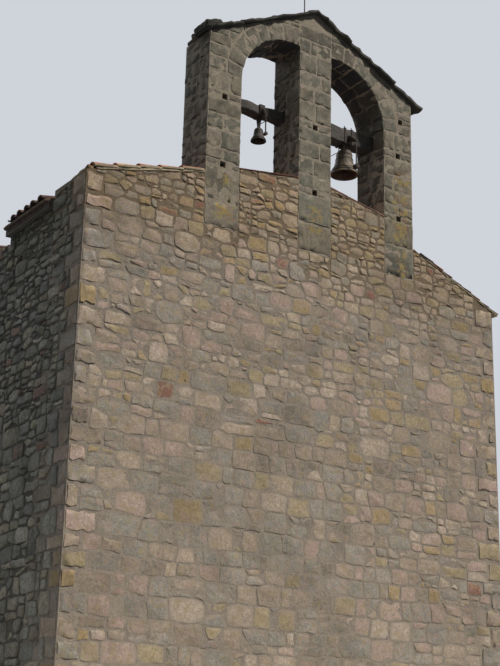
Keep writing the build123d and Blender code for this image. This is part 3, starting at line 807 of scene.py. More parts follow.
@dataclass
class StoneLayer:
    """Draws places for stones on one wall face, presses them against each other and lays the stones."""
    plane: WallPlane
    mesh: StoneMesh
    rng: np.random.Generator
    palette_size: int
    sway: float = 0.02
    calm_edges: tuple[float, float] = (-1e9, 1e9)
    embed: float = 0.02
    rings: tuple[Ring, ...] = FINE_RINGS
    least_cell: float = 0.0012
    least_stone: float = 0.0009
    seeds: list[Seed] = field(default_factory=list)

    def __post_init__(self) -> None:
        """Draws the noise of the courses and of the stones' faces."""
        self.wander = SmoothNoise(int(self.rng.integers(1 << 30)), 1.9, 2)
        self.skin = SmoothNoise(int(self.rng.integers(1 << 30)), 0.21, 2)

    def split(self, quad: np.ndarray, bond: Bond) -> list[np.ndarray]:
        """Cuts a cell until its stones are of the bond's size.

        Args:
            quad: Corners, anticlockwise from the lower left.
            bond: The bond.

        Returns:
            The stones' cells.
        """
        rng = self.rng
        width = 0.5 * (np.hypot(*(quad[1] - quad[0])) + np.hypot(*(quad[2] - quad[3])))
        height = 0.5 * (np.hypot(*(quad[3] - quad[0])) + np.hypot(*(quad[2] - quad[1])))
        most_width, most_height = bond.length * rng.uniform(0.8, 1.7), bond.height * rng.uniform(0.85, 1.6)
        if width <= most_width and height <= most_height:
            return [quad]
        t = rng.uniform(0.34, 0.66)
        s = np.clip(t + rng.uniform(-bond.slant, bond.slant), 0.25, 0.75)
        if width / most_width > height / most_height:
            low, high = quad[0] + (quad[1] - quad[0]) * t, quad[3] + (quad[2] - quad[3]) * s
            halves = (np.array([quad[0], low, high, quad[3]]), np.array([low, quad[1], quad[2], high]))
        else:
            left, right = quad[0] + (quad[3] - quad[0]) * t, quad[1] + (quad[2] - quad[1]) * s
            halves = (np.array([quad[0], quad[1], right, left]), np.array([left, right, quad[2], quad[3]]))
        return [cell for half in halves for cell in self.split(half, bond)]

    def course(self, u0: float, u1: float, v0: float, v1: float, bond_at: Callable[[float, float], Bond],
               cuts: Sequence[Cut] = ()) -> None:
        """Draws places for stones along a stretch of a course.

        Args:
            u0: Its start.
            u1: Its end.
            v0: Its foot.
            v1: Its head.
            bond_at: Gives the bond near a point of the face.
            cuts: Lines that its stones stop at, besides its two ends.
        """
        limits = (*cuts, ((-1.0, 0.0), -u0), ((1.0, 0.0), u1))
        u = u0
        while u < u1 - 1e-6:
            bond = bond_at(u, 0.5 * (v0 + v1))
            width = bond.length * self.rng.uniform(1.0, 3.2)
            end = u1 if u + width > u1 - bond.length * 0.5 else u + width
            for cell in self.split(np.array([[u, v0], [end, v0], [end, v1], [u, v1]]), bond):
                centre = cell.mean(0)
                calm = np.clip((centre[0] - self.calm_edges[0]) / 0.7, 0, 1) * np.clip(
                    (self.calm_edges[1] - centre[0]) / 0.7, 0, 1)
                centre = centre + self.wander(centre[None])[0] * self.sway * calm * (0.6, 1.0)
                self.seeds.append(Seed(centre, np.ptp(cell, axis=0), bond, limits))
            u = end

    def lay(self) -> None:
        """Presses the drawn places against each other and lays a stone in each."""
        centres = np.array([seed.centre for seed in self.seeds])
        sizes = np.array([seed.size for seed in self.seeds])
        leans = np.array([seed.bond.lean for seed in self.seeds])
        corners = np.array([[-0.56, -0.56], [0.56, -0.56], [0.56, 0.56], [-0.56, 0.56]])
        for i, seed in enumerate(self.seeds):
            arms = centres - centres[i]
            near = np.nonzero((np.abs(arms) < 0.5 * (sizes + seed.size) + 0.25).all(1))[0]
            near = near[np.argsort((arms[near] ** 2).sum(1))][1:]
            outline = (corners + self.rng.uniform(-0.07, 0.07, (4, 2))) * seed.size
            for j in near:
                stretch = (0.5 * (leans[i] + leans[j])) ** 2
                weights = ((sizes[[i, j]] ** 2) @ (stretch, 1.0)) / 4
                normal = arms[j] * (stretch, 1.0)
                outline = clip(outline, normal, 0.5 * (float(normal @ arms[j]) + weights[0] - weights[1]))
            cell = outline + centres[i] if len(outline) else outline
            for normal, limit in seed.cuts:
                cell = clip(cell, normal, limit)
            self.stone(cell, seed.bond, 0.15 * float(seed.size.prod()))

    def stone(self, cell: np.ndarray, bond: Bond, least: float = 0.0) -> None:
        """Lays one stone in its cell.

        Args:
            cell: The cell's outline.
            bond: The bond.
            least: Area under which the cell stays mortar.
        """
        rng = self.rng
        if area(cell) < max(self.least_cell, least):
            return
        outline = shrink(cell, bond.joint * rng.uniform(0.15, 0.75))
        if area(outline) < self.least_stone:
            return
        size = math.sqrt(area(outline))
        rounding = min(bond.rounding, size * 0.32) * rng.uniform(0.6, 1.3)
        outline = soften(outline, max(0.07, size * 0.45), rounding, bond.ragged, rng)
        self.relief(outline, size, bond)

    def relief(self, outline: np.ndarray, size: float, bond: Bond) -> None:
        """Raises a stone over its outline, as a closed solid with a worn, uneven face.

        Args:
            outline: The stone's outline on the face.
            size: Its rough width.
            bond: The bond.
        """
        rng = self.rng
        centre, count = outline.mean(0), len(outline)
        rise = max(0.004, bond.rise + rng.uniform(-1, 1) * bond.rise_spread)
        arm = outline - centre
        reach = np.hypot(arm[:, 0], arm[:, 1])[:, None]
        edge = 1 - np.clip(rng.uniform(0.006, 0.014) / reach, 0, 0.3)
        tilt = rng.uniform(-0.45, 0.45, 2) * rise / (0.5 * size)
        shift = rng.uniform(0, 40, 2)
        points, rim = [self.plane.lift(outline, -self.embed)], [np.ones(count)]
        for ring in self.rings:
            flat = centre + arm * edge * ring.share
            swell = 1 + 0.35 * self.skin(flat + shift)[:, 0]
            level = rise * ring.height * swell + ((flat - centre) @ tilt) * ring.height - 0.002
            points.append(self.plane.lift(flat, np.maximum(level, -0.5 * self.embed)))
            rim.append(np.full(count, ring.rim))
        points += [self.plane.lift(centre[None], rise), self.plane.lift(centre[None], -self.embed)]
        rim.append(np.array([0.0, 1.0]))
        look = StoneLook(self.hue(bond), rng.uniform(0, 1), bond.lichen * rng.uniform(0, 1))
        faces = relief_faces(count, 1 + len(self.rings))
        self.mesh.add(Shape(np.concatenate(points), faces, np.concatenate(rim)), look)

    def hue(self, bond: Bond) -> float:
        """Draws a stone's place in the palette by the bond's weights."""
        weights = np.array(bond.hues[:self.palette_size], float)
        pick = self.rng.choice(len(weights), p=weights / weights.sum())
        return (pick + 0.5) / self.palette_size


@lru_cache(maxsize=None)
def relief_faces(count: int, rings: int) -> np.ndarray:
    """Triangles of a stone with rings of points, a front centre and a back centre.

    Args:
        count: Points in a ring.
        rings: Rings, from the back to the front.

    Returns:
        Rows of three indices, outward.
    """
    rows, top = [], rings * count
    for i in range(count):
        j = (i + 1) % count
        for start in range(0, top - count, count):
            a, b, c, d = start + i, start + j, start + count + j, start + count + i
            rows += [(a, b, c), (a, c, d)]
        rows += [(top - count + i, top - count + j, top), (j, i, top + 1)]
    return np.array(rows)


# Rough blocks


@lru_cache(maxsize=None)
def lattice(nx: int, ny: int, nz: int) -> tuple[np.ndarray, np.ndarray]:
    """Grid points and outward triangles of a box whose faces share their points.

    Args:
        nx: Segments along X.
        ny: Segments along Y.
        nz: Segments along Z.

    Returns:
        Integer grid coordinates of the points, and the triangles.
    """
    sizes = (nx, ny, nz)
    index: dict[tuple[int, int, int], int] = {}
    rows = []
    for axis in range(3):
        b, c = (axis + 1) % 3, (axis + 2) % 3
        for end in (0, sizes[axis]):
            for i in range(sizes[b]):
                for j in range(sizes[c]):
                    corner = []
                    for di, dj in ((0, 0), (1, 0), (1, 1), (0, 1)):
                        key = [0, 0, 0]
                        key[axis], key[b], key[c] = end, i + di, j + dj
                        corner.append(index.setdefault(tuple(key), len(index)))
                    if not end:
                        corner.reverse()
                    if (i + j) % 2:
                        corner = corner[1:] + corner[:1]
                    rows += [(corner[0], corner[1], corner[2]), (corner[0], corner[2], corner[3])]
    return np.array(list(index)), np.array(rows)


def rough_block(size: Sequence[float], rng: np.random.Generator | int, cells: tuple[int, int, int],
                rounding: float, swell: float | Sequence[float], wave: float = 0.16) -> Shape:
    """A block with worn edges and an uneven skin, round the origin.

    Args:
        size: Its sizes along X, Y and Z.
        rng: Source of its unevenness, or a seed.
        cells: Segments along X, Y and Z.
        rounding: Radius of its edges.
        swell: Height of the unevenness, one for all axes or one for each.
        wave: Width of the unevenness.

    Returns:
        The block, with the points on its edges as its rim.
    """
    rng = np.random.default_rng(rng)
    grid, triangles = lattice(*cells)
    half = np.asarray(size, float) / 2
    points = np.zeros(grid.shape)
    radius = min(rounding, float(half.min()) * 0.45)
    for axis in range(3):
        inner = np.linspace(-half[axis] + radius, half[axis] - radius, cells[axis] - 1)
        steps = np.concatenate([[-half[axis]], inner, [half[axis]]])
        points[:, axis] = steps[grid[:, axis]]
    core = np.clip(points, -(half - radius), half - radius)
    arm = points - core
    length = np.linalg.norm(arm, axis=1, keepdims=True)
    points = core + arm / np.maximum(length, 1e-9) * np.minimum(length, radius)
    on_edge = (np.abs(np.abs(grid / np.array(cells) - 0.5) - 0.5) < 1e-6).sum(1) > 1
    seed = int(rng.integers(1 << 30))
    bulge = SmoothNoise(seed, wave)(points) * np.asarray(swell)
    chip = rng.uniform(0, 1, (len(points), 1)) * on_edge[:, None] * rounding * 0.8
    return Shape(points + bulge - np.sign(points) * chip * (length > 0), triangles, on_edge.astype(float))


def slope_frame(origin: Sequence[float], side: Side, slope: float) -> Matrix:
    """Frame whose X runs up a roof slope and whose Z stands on it.

    Args:
        origin: Its origin.
        side: Side of the roof that the slope is on.
        slope: Rise over run.

    Returns:
        The matrix.
    """
    angle = math.atan(slope)
    up = Vector((-side.value * math.cos(angle), 0, math.sin(angle)))
    normal = Vector((side.value * math.sin(angle), 0, math.cos(angle)))
    matrix = Matrix((up, normal.cross(up), normal)).transposed().to_4x4()
    matrix.translation = Vector(origin)
    return matrix


def leaning(side: Side, slope: float) -> Matrix:
    """Rotation that lays a block on a slope."""
    return slope_frame((0, 0, 0), side, slope)


# Geometry Nodes: one tree lays a unit on a two-way lattice


@dataclass(frozen=True)
class Rows:
    """Copies along X and along Y of a slope's frame and the steps between them in metres, and how unevenly
    they lie: the seed, the greatest turn in radians and the greatest shift along each axis."""
    counts: tuple[int, int]
    steps: tuple[float, float]
    seed: int
    turn: float
    shift: tuple[float, float, float]


class UnitArray:
    """Lays copies of a unit on a lattice of two steps, with small random turns and shifts."""
    INPUTS = {"Unit": "NodeSocketObject", "Count A": "NodeSocketInt", "Step A": "NodeSocketVector",
              "Count B": "NodeSocketInt", "Step B": "NodeSocketVector", "Turn": "NodeSocketVector",
              "Shift": "NodeSocketVector", "Seed": "NodeSocketInt", "Finish": "NodeSocketMaterial"}

    def __init__(self) -> None:
        """Builds the node tree once."""
        self.tree = tree = bpy.data.node_groups.new("unit_array", "GeometryNodeTree")
        self.keys = {name: tree.interface.new_socket(name, in_out="INPUT", socket_type=kind).identifier
                     for name, kind in self.INPUTS.items()}
        tree.interface.new_socket("Geometry", in_out="OUTPUT", socket_type="NodeSocketGeometry")
        self.given = given = add_node(tree, "NodeGroupInput").outputs
        line_a, line_b = (add_node(tree, "GeometryNodeMeshLine", {
            "Count": given[f"Count {way}"], "Offset": given[f"Step {way}"]}) for way in "AB")
        rows = add_node(tree, "GeometryNodeInstanceOnPoints",
                        {"Points": line_a.outputs[0], "Instance": line_b.outputs[0]})
        spots = add_node(tree, "GeometryNodeRealizeInstances", {"Geometry": rows.outputs[0]})
        unit = add_node(tree, "GeometryNodeObjectInfo", {"Object": given["Unit"]}, transform_space="ORIGINAL")
        turn = add_node(tree, "FunctionNodeEulerToRotation", {"Euler": self._random(0.0, given["Turn"])})
        copies = add_node(tree, "GeometryNodeInstanceOnPoints", {
            "Points": spots.outputs[0], "Instance": unit.outputs["Geometry"], "Rotation": turn.outputs[0]})
        moved = add_node(tree, "GeometryNodeTranslateInstances", {
            "Instances": copies.outputs[0], "Translation": self._random(7.0, given["Shift"])})
        geometry = moved.outputs[0]
        for key, offset in (("hue", 13.0), ("tone", 29.0)):
            geometry = add_node(tree, "GeometryNodeStoreNamedAttribute", {
                "Geometry": geometry, "Name": key, "Value": self._random(offset)}, data_type="FLOAT",
                domain="INSTANCE").outputs[0]
        real = add_node(tree, "GeometryNodeRealizeInstances", {"Geometry": geometry})
        dressed = add_node(tree, "GeometryNodeSetMaterial",
                           {"Geometry": real.outputs[0], "Material": given["Finish"]})
        add_node(tree, "NodeGroupOutput", {"Geometry": dressed.outputs[0]})

    def _random(self, offset: float, reach: Socket | None = None) -> Socket:
        """Draws a number or a vector for each unit.

        Args:
            offset: What keeps this draw's seed apart from the others.
            reach: Vector that the draw stays between the plus and minus of; without it a number from 0 to 1.

        Returns:
            The draw's socket.
        """
        tree, seed = self.tree, self.given["Seed"]
        seed = add_node(tree, "ShaderNodeMath", {0: seed, 1: offset}, operation="ADD").outputs[0]
        if reach is None:
            return add_node(tree, "FunctionNodeRandomValue", {"Seed": seed}, data_type="FLOAT").outputs[1]
        least = add_node(tree, "ShaderNodeVectorMath", {0: reach, 1: (-1.0, -1.0, -1.0)},
                         operation="MULTIPLY").outputs[0]
        return add_node(tree, "FunctionNodeRandomValue", {0: least, 1: reach, "Seed": seed},
                        data_type="FLOAT_VECTOR").outputs[0]

    def lay(self, name: str, unit: Shape, rows: Rows, finish: Finish, frame_of: Matrix) -> bpy.types.Object:
        """Lays the units and returns them as one plain mesh; its rim is 1 at a unit's foot and 0 at its top,
        for crust and painted shade.

        Args:
            name: Name of the piece.
            unit: The unit.
            rows: How many, how far apart and how unevenly.
            finish: The finish.
            frame_of: Matrix that puts the local frame in its place.

        Returns:
            The piece, at the origin.
        """
        material = material_of(finish)
        source = mesh_object(name + "_unit", unit, material)
        heights = unit.points[:, 2]
        # Rim by height, which the tile finishes darken as crust and painted shade
        carry(source.data, "rim", 1.0 - (heights - heights.min()) / np.ptp(heights))
        host = linked(name + "_host", bpy.data.meshes.new(name + "_host"))
        modifier = host.modifiers.new("units", "NODES")
        modifier.node_group = self.tree
        for key, value in {"Unit": source, "Count A": rows.counts[0], "Step A": (rows.steps[0], 0.0, 0.0),
                           "Count B": rows.counts[1], "Step B": (0.0, rows.steps[1], 0.0),
                           "Turn": (rows.turn,) * 3, "Shift": rows.shift, "Seed": rows.seed,
                           "Finish": material}.items():
            modifier[self.keys[key]] = value
        graph = bpy.context.evaluated_depsgraph_get()
        mesh = bpy.data.meshes.new_from_object(host.evaluated_get(graph), preserve_all_data_layers=True,
                                               depsgraph=graph)
        host.modifiers.clear()
        bpy.data.objects.remove(host)
        bpy.data.objects.remove(source)
        mesh.name = name
        mesh.transform(frame_of)
        return linked(name, mesh)


def barrel_tile(length: float, low_width: float, high_width: float, rise: float, thickness: float,
                lift: float, bends: int = 8) -> Shape:
    """A half-round tile with its low end at the origin and its hollow side down.

    Args:
        length: Length up the slope.
        low_width: Width at the low end.
        high_width: Width at the high end.
        rise: Height of its back.
        thickness: Wall thickness.
        lift: How much the low end stands over the tile beneath.
        bends: Segments round its back.

    Returns:
        The closed tile.
    """
    stations = ((0.0, low_width, lift, 1.0), (length * 0.5, (low_width + high_width) / 2, lift * 0.5, 0.97),
                (length, high_width, 0.0, 0.92))
    turns = np.linspace(0, math.pi, bends + 1)
    rings = []
    for x, width, z, scale in stations:
        for inset in (0.0, thickness):
            half, height = width / 2 - inset, rise * scale - inset
            rings.append(np.stack([np.full(bends + 1, x), half * np.cos(turns),
                                   z + height * np.sin(turns)], 1))
    size = bends + 1
    quads = []
    for s in range(2):
        outer, inner, outer_next, inner_next = [(2 * s + k) * size for k in range(4)]
        for i in range(bends):
            quads += [(outer + i, outer_next + i, outer_next + i + 1, outer + i + 1),
                      (inner + i + 1, inner_next + i + 1, inner_next + i, inner + i)]
        quads += [(outer, inner, inner_next, outer_next),
                  (inner + bends, outer + bends, outer_next + bends, inner_next + bends)]
    last = 4 * size
    for i in range(bends):
        quads += [(i + 1, size + i + 1, size + i, i),
                  (last + i, last + size + i, last + size + i + 1, last + i + 1)]
    rows = [row for a, b, c, d in quads for row in ((a, b, c), (a, c, d))]
    return Shape(np.concatenate(rings), np.array(rows))


def joined(a: Shape, b: Shape) -> Shape:
    """Puts two shapes in one list of points and triangles."""
    return Shape(np.concatenate([a.points, b.points]),
                 np.concatenate([a.triangles, b.triangles + len(a.points)]))


# The studio


@dataclass
class Studio:
    """Camera at the photograph's place, soft lamps, pale world and floor."""
    eye: tuple[float, float, float] = (-11.63318, -18.33119, 1.6)
    pitch: float = 0.30432
    roll: float = 0.02376
    yaw: float = 0.60146
    focal_px: float = 1295.77
    frame_height_px: float = 666.0
    key_strength: float = 4.1
    fill_strength: float = 0.46
    back_strength: float = 0.85
    sky_strength: float = 0.078
    backdrop: str = "#cfd3da"
    floor_reach: float = 8.5
    floor_drop: float = 0.002

    def build(self) -> None:
        """Makes the camera, the lamps, the world and the floor."""
        self._camera()
        self._lamps()
        self._world()
        self._floor()

    def _camera(self) -> None:
        """Points the camera as the photograph was taken."""
        data = bpy.data.cameras.new("camera")
        data.sensor_width = 36.0
        data.lens = self.focal_px * data.sensor_width / self.frame_height_px
        data.clip_end = 500.0
        level = math.cos(self.pitch)
        forward = Vector((math.sin(self.yaw) * level, math.cos(self.yaw) * level, math.sin(self.pitch)))
        right = Vector((math.cos(self.yaw), -math.sin(self.yaw), 0.0))
        up = right.cross(forward)
        side = math.cos(self.roll) * right + math.sin(self.roll) * up
        top = -math.sin(self.roll) * right + math.cos(self.roll) * up
        matrix = Matrix((side, top, -forward)).transposed().to_4x4()
        matrix.translation = Vector(self.eye)
        camera = linked("camera", data)
        camera.matrix_world = matrix
        bpy.context.scene.camera = camera

    def _lamps(self) -> None:
        """A soft key from the front right, which leaves the left wall in shade, and weak lamps elsewhere."""
        for name, towards, strength, angle, code in (
                ("key", (0.42, -0.55, 0.85), self.key_strength, 7.0, "#fff7ee"),
                ("fill", (-0.62, -0.22, 1.0), self.fill_strength, 12.0, "#f3f4f2"),
                ("back", (-0.12, 0.95, 0.6), self.back_strength, 20.0, "#eef1f6")):
            data = bpy.data.lights.new(name, "SUN")
            data.energy = strength
            data.angle = math.radians(angle)
            data.color = linear(code)[:3]
            lamp = linked(name, data)
            lamp.rotation_mode = "QUATERNION"
            lamp.rotation_quaternion = Vector(towards).to_track_quat("Z", "Y")

    def _world(self) -> None:
        """A plain pale backdrop for the camera and for gloss, with a softer light from the sky."""
        world = bpy.data.worlds.new("studio")
        bpy.context.scene.world = world
        world.use_nodes = True
        tree = world.node_tree
        tree.nodes.clear()
        rays = add_node(tree, "ShaderNodeLightPath").outputs
        seen = rays["Is Camera Ray"]
        for ray in ("Is Glossy Ray", "Is Transmission Ray"):
            seen = add_node(tree, "ShaderNodeMath", {0: seen, 1: rays[ray]}, operation="MAXIMUM").outputs[0]
        light, shown = (add_node(tree, "ShaderNodeBackground", {"Color": linear(code), "Strength": strength})
                        for code, strength in (("#d6def2", self.sky_strength), (self.backdrop, 1.0)))
        both = add_node(tree, "ShaderNodeMixShader", {0: seen, 1: light.outputs[0], 2: shown.outputs[0]})
        add_node(tree, "ShaderNodeOutputWorld", {"Surface": both.outputs[0]})

    def _floor(self) -> None:
        """A wide pale floor."""
        corners = [(x * self.floor_reach, y * self.floor_reach, -self.floor_drop)
                   for x, y in ((-1, -1), (1, -1), (1, 1), (-1, 1))]
        material = bpy.data.materials.new("studio_floor_matt")
        material.use_nodes = True
        shader = material.node_tree.nodes["Principled BSDF"]
        shader.inputs["Base Color"].default_value = linear("#cbc9c4")
        shader.inputs["Roughness"].default_value = 0.9
        mesh_object("floor", Shape(np.array(corners), np.array([[0, 1, 2], [0, 2, 3]])), material)


# Lines of the block


def front_rake(x: float) -> float:
    """Height of the front wall's raking top at x."""
    side = Side.LEFT if x <= RIDGE_X else Side.RIGHT
    return side.foot + (WALL_RIGHT - side.value * x) * side.slope


def rake_cut(side: Side, drop: float, sense: int = 1) -> Cut:
    """Line under a rake, as a cut.

    Args:
        side: The rake's side.
        drop: How far the line lies under the rake.
        sense: 1 where u runs along +X, else -1.

    Returns:
        Normal and limit of the cut.
    """
    return (side.value * sense * side.slope, 1.0), side.foot + WALL_RIGHT * side.slope - drop


def eave_stretches(side: Side) -> list[tuple[str, float, float]]:
    """Stretches of a side's eave course, each a word for its name and its two ends along Y."""
    low, high = span(f"{side.word}_eave_course")
    if side is Side.LEFT:
        return [("_front", low[1], LEFT_EAVE_GAP[0]), ("_rear", LEFT_EAVE_GAP[1], high[1])]
    return [("", low[1], high[1])]


def eave_levels(side: Side) -> tuple[float, float, float]:
    """Heights of a side's wall head, of the foot of its eave's projecting courses and of their top."""
    low, high = span(f"{side.word}_eave_course")
    top = side.foot - ROOF_DROP
    reach = max(abs(low[0]), abs(high[0])) - WALL_RIGHT
    return low[2], (top - side.slope * reach + low[2]) / 2, top


def gable_top(x: float) -> float:
    """Height of the bell gable's masonry under its cap at x."""
    return span("middle_pier")[1][2] - abs(x - GABLE_AXIS) * GABLE_SLOPE


def course_marks(low: float, high: float, height: float, rng: np.random.Generator,
                 fixed: Sequence[float] = ()) -> list[float]:
    """Heights of the bed joints between two levels.

    Args:
        low: Lowest bed.
        high: Highest bed.
        height: Rough height of a course.
        rng: Source of the spread.
        fixed: Beds that have to be there.

    Returns:
        The beds, in order.
    """
    marks = [low]
    for a, b in pairwise([low, *[f for f in sorted(fixed) if low < f < high], high]):
        count = max(1, int(round((b - a) / height)))
        steps = rng.uniform(0.78, 1.22, count)
        marks += list(a + (b - a) * np.cumsum(steps) / steps.sum())
    return marks


# Bonds of the front from its foot up, with the palette's weights
LOW_FRONT = Bond(0.44, 0.27, 0.010, 0.026, 0.010, 0.006, 0.003, 0.07, 0.5,
                 (3, 1.6, 3.4, 1.8, 3.2, 0.6, 1.8, 1.2, 0.1, 1.2))
LOW_RIGHT_FRONT = Bond(0.36, 0.22, 0.010, 0.025, 0.011, 0.007, 0.003, 0.10, 0.6,
                       (3, 1.6, 2.4, 3.4, 1.6, 0.8, 3.0, 0.4, 0.15, 2.6))
MIDDLE_FRONT = Bond(0.36, 0.22, 0.009, 0.027, 0.012, 0.006, 0.003, 0.12, 0.6,
                    (3, 2.6, 2.4, 3.6, 1.4, 1.6, 3.2, 0.4, 0.3, 3.0), 0.1)
UPPER_FRONT = Bond(0.33, 0.20, 0.010, 0.030, 0.013, 0.0075, 0.0045, 0.15, 0.65,
                   (3, 2.6, 2.4, 3.0, 1.6, 2.0, 2.8, 0.6, 0.7, 2.2), 0.25)
PANEL_FRONT = Bond(0.24, 0.14, 0.010, 0.028, 0.012, 0.009, 0.005, 0.2, 0.8,
                   (3, 3.0, 2.6, 2.4, 2.0, 2.0, 1.6, 0.8, 0.8, 1.8), 0.35)
SHADE_HUES = (3, 2, 3, 1, 3, 1.2, 0.5, 1.2, 3, 1.5)
HIGH_SIDE = Bond(0.285, 0.145, 0.015, 0.028, 0.014, 0.023, 0.010, 0.2, 0.7, SHADE_HUES, 0.2)
LOW_SIDE = Bond(0.38, 0.22, 0.014, 0.028, 0.012, 0.018, 0.007, 0.1, 0.6, SHADE_HUES, 0.1)
HEAD_FILL = Bond(0.3, 0.15, 0.014, 0.03, 0.006, 0.010, 0.004, hues=(1,) * len(ASHLAR.palette), lichen=0.3)


def front_bond(u: float, v: float) -> Bond:
    """How the front is built near a point: smaller and rougher towards the top.

    Args:
        u: Place along the wall.
        v: Height.

    Returns:
        The bond.
    """
    level = v + 0.35 * math.sin(1.3 * u + 0.7) + 0.2 * math.sin(3.1 * u)
    if v > PIER_FOOT:
        return PANEL_FRONT
    if level > 7.9:
        return UPPER_FRONT
    if level > 6.2:
        return MIDDLE_FRONT
    return LOW_RIGHT_FRONT if u > 0.8 + 0.3 * math.sin(2.1 * v) else LOW_FRONT


def side_bond(u: float, v: float) -> Bond:
    """How a side or the rear is built near a point: rough rubble above and larger blocks below."""
    return HIGH_SIDE if v + 0.4 * math.sin(1.1 * u) > 6.2 else LOW_SIDE


def sill_cut(side: Side) -> Cut:
    """Line under the sloping sill of a side's opening, as a cut.

    Args:
        side: Which opening; the left sill rises towards +X and the right one falls.

    Returns:
        Normal and limit of the cut.
    """
    low, high = span(f"{side.word}_opening_sill")
    slope = (high[2] - low[2] - SILL_THICKNESS) / (high[0] - low[0]) * -side.value
    start = low[2] if side is Side.LEFT else high[2] - SILL_THICKNESS
    return (-slope, 1.0), start - slope * low[0] - 0.006


@dataclass
class BlockWalls:
    """Rubble faces and quoins of the block. A corner is a side and -1 for the front or 1 for the rear."""
    rng: np.random.Generator = field(default_factory=lambda: np.random.default_rng(1105))
    course: float = 0.28
    panel_course: float = 0.22
    panel_head: float = 10.4
    rear_head: float = 10.6
    rake_joint: float = 0.012
    quoin_long: tuple[float, float] = (0.34, 0.52)
    quoin_short: tuple[float, float] = (0.20, 0.32)
    quoin_rise: float = 0.008
    quoin_hues: tuple[float, ...] = (0.2, 0.1, 0.2, 0.14, 0.12, 0.06, 0.06, 0.04, 0.01, 0.07)
    coping: tuple[float, float, float] = (0.125, 0.62, 0.10)
    coping_fall: float = 0.12

    def build(self) -> None:
        """Builds every face of the block."""
        self.beds = course_marks(0.0, PIER_FOOT, self.course, self.rng)
        self.tops = {(side, end): side.foot - ROOF_DROP - 0.02 if end > 0 else side.foot
                     for end in (-1, 1) for side in Side}
        self.quoins = {corner: self._quoin_lengths(corner) for corner in self.tops}
        self._front()
        for side in Side:
            self._side(side)
        self._rear()
        self._corner_stones()

    def _corner_beds(self, corner: tuple[Side, int]) -> list[float]:
        """Bed joints of a corner's stones, up to the corner's top."""
        top = self.tops[corner]
        return [bed for bed in self.beds if bed < top - 0.12] + [top]

    def _quoin_lengths(self, corner: tuple[Side, int]) -> list[tuple[float, float]]:
        """Length along X and along Y of each of a corner's stones, from its foot."""
        row = []
        for i in range(len(self._corner_beds(corner)) - 1):
            long, short = self.rng.uniform(*self.quoin_long), self.rng.uniform(*self.quoin_short)
            row.append((long, short) if (i + (corner[0] is Side.RIGHT)) % 2 else (short, long))
        return row

    def _reach(self, corner: tuple[Side, int], v0: float, v1: float, axis: int) -> float:
        """Longest reach of a corner's stones between two heights.

        Args:
            corner: The corner.
            v0: Lower height.
            v1: Higher height.
            axis: 0 along X, 1 along Y.

        Returns:
            The reach, which is 0 over the corner's top.
        """
        stones = zip(self.quoins[corner], pairwise(self._corner_beds(corner)))
        return max((lengths[axis] for lengths, (low, high) in stones if low < v1 - 0.01 and high > v0 + 0.01),
                   default=0.0)

    def _front(self) -> None:
        """Front face: one field of rubble up to the rakes and the sills, round the pier shafts."""
        mesh = StoneMesh("front_rubble_stones")
        plane = WallPlane((0.0, WALL_FRONT, 0.0), (1.0, 0.0, 0.0))
        layer = StoneLayer(plane, mesh, self.rng, len(RUBBLE.palette), calm_edges=(WALL_LEFT, WALL_RIGHT))
        left_rake, right_rake = (rake_cut(side, self.rake_joint) for side in Side)
        shafts = [(low[0], high[0]) for low, high in map(span, PIERS)]
        for v0, v1 in pairwise(self.beds):
            u0 = WALL_LEFT + self._reach((Side.LEFT, -1), v0, v1, 0)
            u1 = WALL_RIGHT - self._reach((Side.RIGHT, -1), v0, v1, 0)
            for x0, x1 in shafts if v1 >= PIER_FOOT - 0.01 else ():
                layer.course(u0, x0, v0, v1, front_bond)
                layer.course(x0, x1, v0, v1, front_bond, [((0.0, 1.0), PIER_FOOT)])
                u0 = x1
            layer.course(u0, u1, v0, v1, front_bond, [right_rake])
        edges = [WALL_LEFT, *[x for shaft in shafts for x in shaft], WALL_RIGHT]
        tops = (left_rake, sill_cut(Side.LEFT), sill_cut(Side.RIGHT), right_rake)
        for u0, u1, top in zip(edges[::2], edges[1::2], tops):
            marks = course_marks(PIER_FOOT, self.panel_head, self.panel_course, self.rng, (LEFT_RAKE_FOOT,))
            for v0, v1 in pairwise(marks):
                start = u0 + (self._reach((Side.LEFT, -1), v0, v1, 0) if u0 == WALL_LEFT else 0.0)
                layer.course(start, u1, v0, v1, front_bond, [top])
        layer.lay()
        mesh.build(RUBBLE, "rubble_stone")

    def _side(self, side: Side) -> None:
        """A side face, with a strip in front of the roof and one behind the eave.

        Args:
            side: Which one.
        """
        mesh = StoneMesh(f"{side.word}_rubble_stones")
        plane = WallPlane((side.value * WALL_RIGHT, 0.0, 0.0), (0.0, side.value, 0.0))
        layer = StoneLayer(plane, mesh, self.rng, len(SHADE_RUBBLE.palette),
                           calm_edges=(WALL_FRONT, WALL_REAR),
                           rings=FINE_RINGS if side is Side.LEFT else COARSE_RINGS)
        head, eave_foot, _ = eave_levels(side)
        front, rear = (side, -1), (side, 1)
        for v0, v1 in pairwise([bed for bed in self.beds if bed < head - 0.1] + [head]):
            first, last = [self._reach(corner, v0, v1, 1) for corner in (front, rear)[::side.value]]
            cuts = [((0.0, 1.0), head)] if v1 == head else []
            layer.course(WALL_FRONT + first, WALL_REAR - last, v0, v1, side_bond, cuts)
        for _, y0, y1 in eave_stretches(side):
            u0, u1 = sorted((side.value * y0, side.value * y1))
            layer.course(u0, u1, head, eave_foot, side_bond, [((0.0, 1.0), eave_foot)])
        eave_end = span(f"{side.word}_eave_course")[1][1]
        for corner, open_from in ((front, ROOF_FRONT), (rear, eave_end)):
            top = self.tops[corner] - 0.04
            reach = WALL_REAR - self._reach(corner, head, top, 1)
            u0, u1 = sorted((side.value * open_from, side.value * corner[1] * reach))
            layer.course(u0, u1, head, top, side_bond, [((0.0, 1.0), top)])
        layer.lay()
        mesh.build(SHADE_RUBBLE, "rubble_stone")

